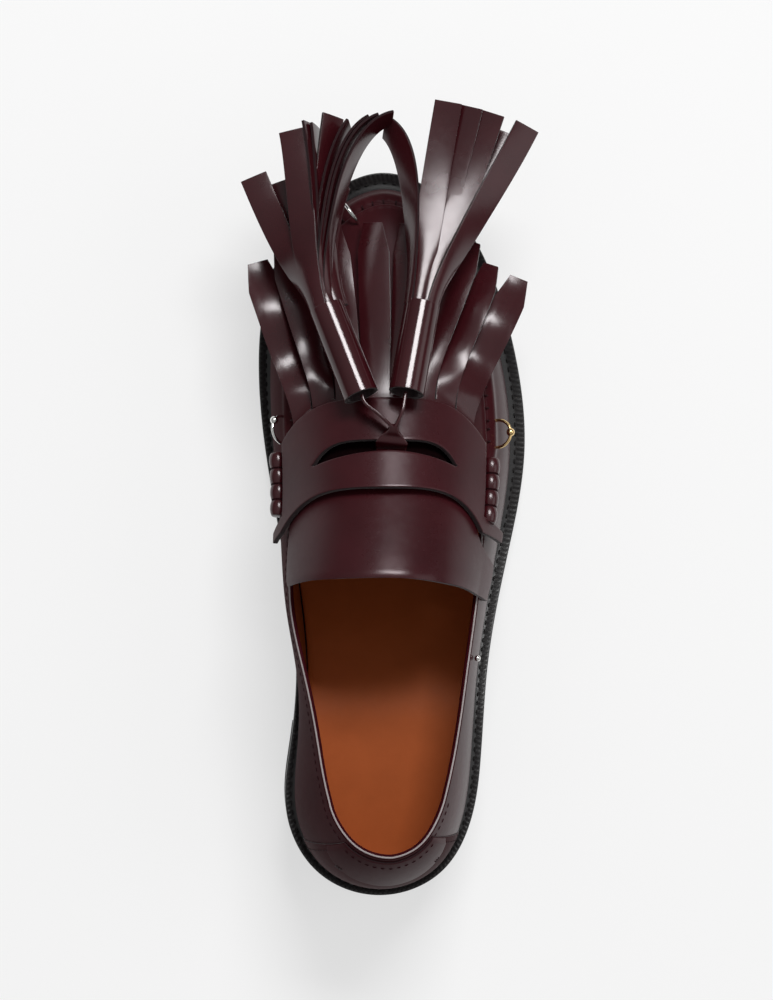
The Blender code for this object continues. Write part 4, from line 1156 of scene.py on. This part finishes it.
def tab_point(turn, share):
    lift = TAB * float(eased((1 - abs(turn)) / TAB_SIDE_EASE)) * (1 - TAB_TOP_PRESS * share ** 3)
    return back_point(turn, mixed(tab_edge(turn), 1, share), lift)


def tab_tack(turn):
    """One bar of thread across the tab's lower edge."""
    edge = tab_edge(TACK_TURN)
    low = back_point(turn, edge - TACK_REACH, TACK_LIFT)
    high = back_point(turn, edge + TACK_REACH, TAB)
    return stitch(low, high, back_point(turn, edge, TACK_UP) - low, TACK_THREAD)


def make_back():
    """Strip over the back seam, the tab at its top, and their stitches."""
    strip = np.array([[back_point(turn, up, 0) for turn in BACK_TURNS] for up in BACK_ROWS])
    leather_sheet("back_strip", [strip], STRIP_LIFT, DULL_LEATHER, ["heel_counter"], STRIP_BEVEL, True)
    tab = np.array([[tab_point(turn * TAB_WIDTH, share) for turn in BACK_TURNS] for share in TAB_ROWS])
    leather_sheet("back_tab", [tab], TAB, WALL_LEATHER, (), TAB_BEVEL, True)
    near = BACK_SEAM_INSET
    bars = []
    for path in (strip[1:-1, near], strip[1:-1, -1 - near], tab[TAB_SEAM_ROW, near:-near]):
        out = path - np.array(BACK_SEWING_AXIS)
        out[:, 2] = BACK_SEWING_RISE
        bars += stitch_row(path, out, BACK_SEWING)
    for turn in (-TACK_TURN, TACK_TURN):
        bars += [tab_tack(turn + offset) for offset in (-TACK_PITCH, 0, TACK_PITCH)]
    make_piece("back_strip_stitches", bars, [THREAD], "upper_leather", caps=True)


# Layers over the upper

def outer_lift(bottom_lift, thickness):
    return bottom_lift + WALL_SLANT * thickness


def strap_sweep(turn):
    return STRAP_SWEEP * (abs(turn) / STRAP_TURN) ** STRAP_SWEEP_POWER


def strap_turn(turn):
    """Turn on the last of a place on the strap, which reaches less far down on the outer side."""
    return turn * STRAP_OUTER_SHARE if turn > 0 else turn


def strap_rear(turn):
    return STRAP_REAR - strap_sweep(turn)


def strap_front(turn):
    return STRAP_FRONT - strap_sweep(turn)


TONGUE_ROLL = 0.6 * MM
TONGUE_ROLL_WIDTH = 2.8 * MM
TONGUE_SOFT_ROLL_WIDTH = 5 * MM
TONGUE_SOFT_FROM = 0.05
TONGUE_SOFT_OVER = 0.3
TONGUE_RISE = 3.2 * MM
TONGUE_BEVEL = 0.45 * MM
TONGUE_COLUMNS = np.linspace(0, 1, 91)
TONGUE_ROWS = np.linspace(0, 1, 41) ** 1.3


def under_strap(turn):
    """Turn on the strap over a place on the tongue, which stays short of the strap's tail."""
    turn = turn / STRAP_OUTER_SHARE if turn > 0 else turn
    spare = TAIL_TURN - STRAP_TURN
    over = max(turn - STRAP_TURN, 0) / spare
    return min(turn, STRAP_TURN) + spare * (1 - math.exp(-over))


def tongue_point(turn, forward):
    """Point on the tongue's outer face, forward 0 at its rear edge and 1 under the strap."""
    rear = tongue_edge(turn) * MM
    along = mixed(rear, strap_rear(under_strap(turn)) + TONGUE_UNDER_STRAP, forward)
    sharp = TONGUE_ROLL * max(1 - (along - rear) / TONGUE_ROLL_WIDTH, 0) ** 2
    soft = TONGUE_ROLL * hump(along - rear, TONGUE_SOFT_ROLL_WIDTH)
    droop = mixed(sharp, soft, float(eased((turn - TONGUE_SOFT_FROM) / TONGUE_SOFT_OVER)))
    rise = TONGUE_RISE * (1 - forward) * max(1 - (turn / TONGUE_INNER_TURN) ** 2, 0)
    return last_point(along, turn, outer_lift(LAYER_LIFT, TONGUE) - droop + rise)


def make_tongue():
    grid = []
    for forward in TONGUE_ROWS:
        narrow = eased((forward - TONGUE_NARROWS_AT) / TONGUE_NARROWS_OVER)
        corner = mixed(TONGUE_CORNER_TURN, TONGUE_OUTER_TURN, narrow)
        grid.append([tongue_point(mixed(TONGUE_INNER_TURN, corner, i), forward) for i in TONGUE_COLUMNS])
    sheet_piece("tongue_flap", [grid], TONGUE, [STRAP_LEATHER, LINING, CUT_EDGE], ["tongue"], TONGUE_BEVEL)


SLOT_REAR_POWER = 1.7
SLOT_FRONT_POWER = 4
SLOT_STEPS = 72
STRAP_END_STEPS = 18
STRAP_ROWS = np.linspace(0, 1, 15)
STRAP_BEVEL = 0.4 * MM
TAIL_COLUMNS = np.linspace(0, 1, 9)
TAIL_ROWS = np.linspace(0, 1, 8)


def slot_edges(turn):
    """Rear and front edge of the slot, which meet at its ends."""
    share = abs(turn / SLOT_TURN)
    end = SLOT_REAR - SLOT_REAR_SWEEP
    return mixed(SLOT_REAR, end, share ** SLOT_REAR_POWER), mixed(SLOT_FRONT, end, share ** SLOT_FRONT_POWER)


def strap_point(along, turn):
    """Point on the strap's outer face, which bridges the middle of the instep."""
    share = min(abs(turn) / STRAP_TURN, 1)
    bridge = STRAP_BRIDGE * math.cos(share * math.pi / 2) ** 2
    return last_point(along, strap_turn(turn), outer_lift(STRAP_LIFT + bridge, STRAP))


def strap_column(low, high, turn, rows):
    return [strap_point(mixed(low, high, row), turn) for row in rows]


def strap_tail(side):
    """Narrow tail that runs back and down from the strap's end."""
    rear = strap_rear(STRAP_TURN)
    middle = mixed(rear, mixed(rear, strap_front(STRAP_TURN), STRAP_SPLIT), 0.5)
    tip = TAIL_TURN if side < 0 else TAIL_TURN / STRAP_OUTER_SHARE
    tail = []
    for share in TAIL_COLUMNS:
        low = mixed(rear, TAIL_REAR, share)
        high = mixed(middle, TAIL_FRONT, share)
        tail.append(strap_column(low, high, side * mixed(STRAP_TURN, tip, share), TAIL_ROWS))
    return by_rows(tail[::side])


def make_strap():
    ends = [mixed(SLOT_TURN, STRAP_TURN, i / STRAP_END_STEPS) for i in range(1, STRAP_END_STEPS + 1)]
    turns = [-turn for turn in ends[::-1]]
    turns += [mixed(-SLOT_TURN, SLOT_TURN, i / SLOT_STEPS) for i in range(SLOT_STEPS + 1)]
    turns += ends
    behind = []
    ahead = []
    for turn in turns:
        rear = strap_rear(turn)
        front = strap_front(turn)
        split = mixed(rear, front, STRAP_SPLIT)
        low, high = slot_edges(turn) if abs(turn) < SLOT_TURN - WELD else (split, split)
        behind.append(strap_column(rear, low, turn, STRAP_ROWS))
        ahead.append(strap_column(high, front, turn, STRAP_ROWS))
    grids = [by_rows(behind), by_rows(ahead), strap_tail(-1), strap_tail(1)]
    leather_sheet("saddle_strap_leather", grids, STRAP, STRAP_LEATHER, ["saddle_strap"], STRAP_BEVEL)


def frame_along(path, i):
    """Direction, right hand and up of a path at one of its points."""
    ahead = (path[min(i + 1, len(path) - 1)] - path[max(i - 1, 0)]).normalized()
    right = ahead.cross(Vector((0, 0, 1))).normalized()
    return ahead, right, right.cross(ahead)


LOBE_STEPS = 30
ROLL_SIDES = 32
ROLL_THREAD = 0.3 * MM
ROLL_THREAD_SIDES = 8
ROLL_THREAD_SINK = 0.4
ROLL_THREAD_SHIFTS = (-0.35 * MM, 0.35 * MM)


def make_beef_roll(roll):
    """Roll of leather with a row of lobes, each drawn in by wraps of thread."""
    turn = strap_turn(roll.side * ROLL_TURN)
    steps = LOBE_STEPS * ROLL_LOBES
    alongs = [mixed(roll.start, roll.stop, i / steps) for i in range(steps + 1)]
    path = [last_point(along, turn, ROLL_RADIUS + LAYER_LIFT) for along in alongs]
    angles = ring_angles(ROLL_SIDES)
    rows = []
    for i, centre in enumerate(path):
        _, right, up = frame_along(path, i)
        lobe = abs(math.sin(math.pi * i / LOBE_STEPS))
        rows.append(circle(centre, right, up, ROLL_RADIUS * mixed(ROLL_STITCHED, 1, math.sqrt(lobe)), angles))
    leather = roll.name + "_leather"
    make_piece(leather, [rows], [LEATHER], "upper_leather", [roll.name], caps=True, sharp=60)
    wraps = []
    for k in range(1, ROLL_LOBES):
        middle = k * LOBE_STEPS
        ahead, right, up = frame_along(path, middle)
        reach = ROLL_RADIUS * ROLL_STITCHED + ROLL_THREAD * (1 - ROLL_THREAD_SINK)
        for shift in ROLL_THREAD_SHIFTS:
            wrap = []
            for a in [*angles, angles[0]]:
                out = right * math.cos(a) + up * math.sin(a)
                spot = path[middle] + ahead * shift + out * reach
                wrap.append(circle(spot, out, ahead, ROLL_THREAD, ring_angles(ROLL_THREAD_SIDES)))
            wraps.append(wrap)
    make_piece(roll.name + "_thread", wraps, [THREAD], "upper_leather")


def bezier(points, share):
    rest = 1 - share
    weights = (rest ** 3, 3 * share * rest ** 2, 3 * share ** 2 * rest, share ** 3)
    return sum((p * w for w, p in zip(weights, points)), Vector((0, 0, 0)))


def place(across, along, height):
    """World point from a place on the shoe in millimetres."""
    return Vector((across, along, height)) * MM - Vector((0, HEEL_CENTRE, 0))


def rolled_side(ahead, roll):
    """Direction across a strip that runs ahead, its outer edge raised by a roll in degrees."""
    level = Vector((ahead.y, -ahead.x, 0)).normalized()
    angle = math.radians(roll)
    return level * math.cos(angle) + Vector((0, 0, math.sin(angle)))


COLUMNS = np.linspace(-1, 1, 11)
KILTIE_STEPS = 60
KILTIE_FLAT = 0.6
KILTIE_CHAMFER = 0.15
KILTIE_CROWN = 0.5 * MM
KILTIE_FLARE = 1.2
KILTIE_WAVE = 1.9 * MM
KILTIE_WAVES = 3.6
KILTIE_WAVE_START = -0.3
KILTIE_WAVE_EASE = 3
KILTIE_TWIST_AT = 0.25
KILTIE_TWIST_OVER = 0.22
KILTIE_ROLL_EASE = 1.6
FRINGE_ROWS = (0.2, 0.1, 0)
BAND_ROWS = (1, 0.8, 0.6, 0.4, 0.2)


def kiltie_turns(index):
    pitch = 2 * KILTIE_TURN / len(KILTIE_TIPS)
    left = -KILTIE_TURN + pitch * index + KILTIE_SLIT_TURN / 2
    right = left + pitch - KILTIE_SLIT_TURN
    return [mixed(left, right, (column + 1) / 2) for column in COLUMNS]


def kiltie_band(turn, back, ahead=0.0):
    """Point on the band's outer face, back 0 at the roots of the strips and 1 at its rear edge."""
    root = strap_front(turn) + KILTIE_AHEAD
    rear = strap_rear(turn) + KILTIE_BEHIND
    return last_point(mixed(root, rear, back) + ahead, strap_turn(turn), outer_lift(LAYER_LIFT, KILTIE))


def kiltie_strip(index):
    """Rows along one strip, from its root at the strap to its pointed tip."""
    tip = KILTIE_TIPS[index]
    turns = kiltie_turns(index)
    roots = [kiltie_band(turn, 0) for turn in turns]
    middle = len(turns) // 2
    root = roots[middle]
    ahead = (kiltie_band(turns[middle], 0, 1 * MM) - root).normalized()
    end = place(tip.across, tip.along, tip.height)
    reach = (end - root).length
    heading = Vector((end.x - root.x, end.y - root.y, 0)).normalized()
    first = root + ahead * reach * STRIP_HANDLE + Vector((0, 0, KILTIE_ROOT_ARCH))
    second = end - heading * reach * KILTIE_TIP_HANDLE + Vector((0, 0, tip.arch * MM))
    control = [root, first, second, end]
    root_side = (roots[-1] - roots[0]) / 2
    tip_side = rolled_side(heading, tip.roll) * root_side.length * KILTIE_FLARE
    lean = math.sin(math.radians(tip.twist)) * root_side.length
    wave = KILTIE_WAVE * abs(2 * index / (len(KILTIE_TIPS) - 1) - 1) ** 2
    strip = [roots]
    for i in range(1, KILTIE_STEPS + 1):
        row = []
        for k, column in enumerate(COLUMNS):
            chamfer = max(abs(column) - KILTIE_FLAT, 0) / (1 - KILTIE_FLAT)
            share = i / KILTIE_STEPS * (1 - KILTIE_CHAMFER * chamfer)
            ease = float(eased(share * KILTIE_WAVE_EASE))
            side = root_side.lerp(tip_side, float(eased(share * KILTIE_ROLL_EASE)))
            side = side + Vector((0, 0, lean * hump(share - KILTIE_TWIST_AT, KILTIE_TWIST_OVER)))
            sway = wave * math.sin(math.pi * KILTIE_WAVES * share + KILTIE_WAVE_START) * ease
            crown = Vector((0, 0, sway - KILTIE_CROWN * column * column * ease))
            bow = (roots[k] - root - root_side * column) * (1 - ease)
            row.append(bezier(control, share) + side * column + crown + bow)
        strip.append(row)
    return strip


def make_kiltie():
    strips = [kiltie_strip(index) for index in range(len(KILTIE_TIPS))]
    turns = [turn for index in range(len(strips)) for turn in kiltie_turns(index)]
    front = [[kiltie_band(turn, back) for turn in turns] for back in FRINGE_ROWS]
    rear = [[kiltie_band(turn, back) for turn in turns] for back in BAND_ROWS]
    leather_sheet("kiltie_fringe", [front] + strips, KILTIE, LEATHER, ["kiltie"])
    # The band under the strap shows only through its slots, and its near-black suede is painted shade.
    leather_sheet("kiltie_band", [rear], KILTIE, PAINTED_SHADE_SUEDE)


# Tassels

TUBE = 0.9 * MM
TUBE_LAP = 0.3 * MM
TUBE_WRAP = 1.0 * MM
TUBE_WRAP_EASE = 0.3
TUBE_WRAP_MOST = 1.15
TUBE_TURNS = 1.22
TUBE_LAP_AT = {1: math.radians(-60), -1: math.radians(240)}
TUBE_COLUMNS = 97
TUBE_ROWS = 25
TASSEL_BEVEL = 0.15 * MM
WRAP_RADII = (6.7 * MM, 5.3 * MM, 3.9 * MM, 2.8 * MM)
WRAP_ROLLS = (1, 0.4, 0.9, 0.9)
STRIP_OVERLAP = 1.5 * MM
STRIP_STEPS = 54
SLOPE_STEP = 0.01
TIP_CURL = 1 / (60 * MM)
CURL_END = 0.5


def tube_frame(tassel):
    """Rear end, mouth, axis, level direction to the outer side and up of a tassel's tube."""
    rear = place(*tassel.rear)
    mouth = place(*tassel.mouth)
    axis = (mouth - rear).normalized()
    level = rolled_side(axis, 0)
    return rear, mouth, axis, level, level.cross(axis)


def tassel_strip(tassel, strip):
    """Rows along one strip, curled like the tube at its root and nearly flat at its tip."""
    _, mouth, axis, level, up = tube_frame(tassel)
    radius = WRAP_RADII[strip.wrap]
    turn = math.radians(strip.turn)
    tip = place(strip.across, strip.along, strip.height)
    root = mouth - axis * STRIP_OVERLAP + (up * math.cos(turn) + level * math.sin(turn)) * radius
    reach = (tip - root).length
    bend = Vector((strip.bend_across, strip.bend_along, strip.bend_up)) * MM
    control = [root, root + axis * reach * STRIP_HANDLE, root.lerp(tip, STRIP_BEND_AT) + bend, tip]
    grid = []
    for i in range(STRIP_STEPS + 1):
        share = i / STRIP_STEPS
        centre = bezier(control, share)
        ahead = (bezier(control, share + SLOPE_STEP) - bezier(control, share - SLOPE_STEP)).normalized()
        start_roll = -strip.turn * WRAP_ROLLS[strip.wrap]
        side = rolled_side(ahead, mixed(start_roll, strip.roll, float(eased(share * STRIP_ROLL_EASE))))
        side = (side - ahead * side.dot(ahead)).normalized()
        out = side.cross(ahead)
        curl = mixed(1 / radius, TIP_CURL, float(eased(share / CURL_END)))
        angles = COLUMNS * STRIP_WIDTH / 2 * curl
        grid.append([centre + side * (math.sin(a) / curl) + out * ((math.cos(a) - 1) / curl) for a in angles])
    return grid


def tube_grid(tassel):
    """Sheet rolled up round the tube's axis, its outer edge lapping over."""
    rear, mouth, _, level, up = tube_frame(tassel)
    way = 1 if mouth.x > 0 else -1
    wound = np.linspace(0, TUBE_TURNS, TUBE_COLUMNS)
    angles = TUBE_LAP_AT[way] + way * wound * 2 * math.pi
    wraps = TUBE_WRAP * eased(wound / TUBE_WRAP_EASE) * np.minimum(wound, TUBE_WRAP_MOST)
    radii = TUBE_RADIUS + TUBE_LAP - wraps
    grid = []
    for share in np.linspace(0, 1, TUBE_ROWS):
        centre = rear.lerp(mouth, share)
        spots = zip(angles, radii)
        row = [centre + (level * math.cos(a) + up * math.sin(a)) * float(radius) for a, radius in spots]
        grid.append(row[::way])
    return grid


def make_tassel(tassel):
    name = tassel.name
    leather_sheet(name + "_tube", [tube_grid(tassel)], TUBE, TUBE_LEATHER, (), TASSEL_BEVEL, True)
    grids = [tassel_strip(tassel, strip) for strip in tassel.strips]
    leather_sheet(name + "_strips", grids, STRIP, LEATHER, [name], TASSEL_BEVEL)


# Tie

TIE_SIDES = 20
TIE_STEPS = 40
TIE_SQUARENESS = 0.35


def rounded_section(centre, side, up, width, depth):
    """Ring of points round a flat section with soft corners."""
    def squared(value):
        return math.copysign(abs(value) ** TIE_SQUARENESS, value) / 2

    angles = ring_angles(TIE_SIDES) + math.pi / TIE_SIDES
    return [centre + side * squared(math.cos(a)) * width + up * squared(math.sin(a)) * depth for a in angles]


def tie_rows(stops):
    """Rings along a smooth run through the stops."""
    columns = np.transpose(np.array(stops, float))
    marks = path_lengths(columns[:3].T)
    curves = [smooth_curve(marks, column) for column in columns]
    places = [[curve(mark) for curve in curves] for mark in np.linspace(0, marks[-1], TIE_STEPS)]
    path = [place(*row[:3]) for row in places]
    rings = []
    for i, row in enumerate(places):
        _, side, up = frame_along(path, i)
        rings.append(rounded_section(path[i], side, up, row[3] * MM, row[4] * MM))
    return rings


def thong_end(tassel, thickest):
    """Last stops of a thong, square to the rear end of its tassel's tube."""
    rear = Vector(tassel.rear)
    axis = (Vector(tassel.mouth) - rear).normalized()
    spots = [rear - axis * back for back in (THONG_LAST_RUN, CLEARANCE / MM)]
    return [TieStop(*spot, thickest.width, thickest.depth) for spot in spots]


def make_tie():
    thongs = [stops + thong_end(tassel, stops[-1]) for tassel, stops in zip(TASSELS, TIE_THONGS)]
    runs = [tie_rows(stops) for stops in [TIE_TAB, *thongs]]
    make_piece("tassel_tie_leather", runs, [LEATHER], "upper_leather", ["tassel_tie"], caps=True, sharp=60)


# Rings and stud

RING_STEPS = 73
RING_WIRE_SIDES = 16
BALL_ROWS = 19
BALL_SIDES = 28
BALL_POLE = 1e-3


def ring_rows(centre, chord, outward):
    """Circles round the wire of a ring."""
    axis = chord.cross(outward)
    rows = []
    for a in np.linspace(0, 2 * math.pi, RING_STEPS):
        out = chord * math.cos(a) + outward * math.sin(a)
        rows.append(circle(centre + out * RING_RADIUS, out, axis, RING_WIRE, ring_angles(RING_WIRE_SIDES)))
    return rows


def make_ball(name, centre, radius, slot, replaces=(), body=BODY):
    right, ahead, up = Matrix.Identity(3)
    rows = []
    for a in np.linspace(-math.pi / 2, math.pi / 2, BALL_ROWS):
        size = radius * max(math.cos(a), BALL_POLE)
        rows.append(circle(centre + up * math.sin(a) * radius, right, ahead, size, ring_angles(BALL_SIDES)))
    make_piece(name, [rows], [METALS[slot]], slot, replaces, body, caps=True)


def make_ring(name, centre, chord, outward, bead, slot):
    outward = (outward - chord * outward.dot(chord)).normalized()
    make_piece(name + "_wire", [ring_rows(centre, chord, outward)], [METALS[slot]], slot, [name], name)
    spot = centre + (chord * math.sin(bead) + outward * math.cos(bead)) * RING_RADIUS
    make_ball(name + "_bead", spot, RING_BEAD, slot, body=name)


def make_side_ring(ring):
    step = 1 * MM
    centre = last_point(ring.along, ring.turn, RING_RISE)
    chord = (last_point(ring.along + step, ring.turn, RING_RISE) - centre).normalized()
    outward = (centre - last_point(ring.along, ring.turn)).normalized()
    lean = Matrix.Rotation(ring.tilt * (-1 if outward.x > 0 else 1), 3, "Y")
    make_ring(ring.name, centre, chord, lean @ outward, ring.bead, ring.slot)


def make_toe_ring():
    rib = fan_rib(TOE_POLE, TOE_RING_HEADING, TOE_END)
    step = 0.01
    lifts = (RING_RISE + RING_SEAM_RISE, 0.0)
    centre, foot = (Vector(rib_points(rib, TOE_RING_SHARE, lift)) for lift in lifts)
    near, far = (Vector(rib_points(rib, TOE_RING_SHARE + way)) for way in (-step, step))
    make_ring("ring_toe", centre, (far - near).normalized(), centre - foot, TOE_RING_BEAD, "silver")


def make_stud():
    centre = last_point(STUD_ALONG, STUD_TURN, STUD_RADIUS + CLEARANCE)
    make_ball("stud_ball", centre, STUD_RADIUS, "silver", ["stud_collar"])


# Stage: floor, light and camera

CAMERA_SPOT = Vector((-56.3 * MM, 144 * MM, 2.0))
CAMERA_AIM = Vector((2 * MM, 117 * MM, 40 * MM))
FRAME_HEIGHT = 0.385
SENSOR = 24.0
WHITE = (1, 1, 1, 1)
SKY_LOW = 0.1
SKY_HIGH = 0.45
FLOOR_HALF = 3.0
FLOOR_GREY = (0.35, 0.35, 0.35)
FLOOR_GLOW = 0.6
FLOOR_NEAR = 0.32
FLOOR_FAR = 0.85
FLOOR_FAR_GLOW = 0.1
Lamp = namedtuple("Lamp", "name spot width length power")
LAMPS = table(
    Lamp,
    ("key", (0.38, 1.6, 2.05), 1.15, 0.6, 46.0),
    ("fill", (2.2, 0.2, 1.5), 2.0, 1.6, 9.0),
)


def make_floor():
    """Pale floor that glows round the shoe and fades far off."""
    mesh = bpy.data.meshes.new("floor")
    corners = [(x * FLOOR_HALF, y * FLOOR_HALF, 0) for x, y in ((-1, -1), (1, -1), (1, 1), (-1, 1))]
    mesh.from_pydata(corners, [], [(0, 1, 2, 3)])
    look, nodes = new_material("floor", FLOOR_GREY, 0.9, emission_color=WHITE, specular_ior_level=0.0)
    away = nodes.add("VectorMath", "Value", {0: nodes.place}, operation="LENGTH")
    nodes.shade(emission_strength=nodes.span(away, FLOOR_GLOW, FLOOR_FAR_GLOW, FLOOR_NEAR, FLOOR_FAR))
    mesh.materials.append(look)
    floor = add_item("floor", mesh)
    floor.location = (CAMERA_AIM.x, CAMERA_AIM.y, 0)


def make_light():
    """Surround that is brighter overhead, and the lamps."""
    world = bpy.data.worlds.new("surround")
    world.use_nodes = True
    nodes = Nodes(world.node_tree, "Background", "Generated")
    nodes.shade(color=WHITE, strength=nodes.span(nodes.part("Z"), SKY_LOW, SKY_HIGH, 0, 1))
    bpy.context.scene.world = world
    for lamp in LAMPS:
        light = bpy.data.lights.new(lamp.name, "AREA")
        light.shape = "RECTANGLE"
        light.size = lamp.width
        light.size_y = lamp.length
        light.energy = lamp.power
        item = add_item(lamp.name, light)
        item.location = lamp.spot
        item.rotation_euler = (CAMERA_AIM - Vector(lamp.spot)).to_track_quat("-Z", "Y").to_euler()


def make_camera():
    lens = bpy.data.cameras.new("camera")
    lens.sensor_fit = "VERTICAL"
    lens.sensor_height = SENSOR
    away = CAMERA_AIM - CAMERA_SPOT
    lens.lens = SENSOR * away.length / FRAME_HEIGHT
    camera = add_item("camera", lens)
    forward = away.normalized()
    right = forward.cross(Vector((0, 1, 0))).normalized()
    turned = Matrix((right, right.cross(forward), -forward)).transposed()
    camera.matrix_world = Matrix.Translation(CAMERA_SPOT) @ turned.to_4x4()
    bpy.context.scene.camera = camera
    bpy.context.scene.view_settings.view_transform = "Standard"


make_camera()
make_floor()
make_light()
make_outsole()
make_heel()
make_welt()
make_insole()
make_upper()
make_back()
make_tongue()
make_kiltie()
make_strap()
for beef_roll in ROLLS:
    make_beef_roll(beef_roll)
for pair_tassel in TASSELS:
    make_tassel(pair_tassel)
make_tie()
for side_ring in SIDE_RINGS:
    make_side_ring(side_ring)
make_toe_ring()
make_stud()
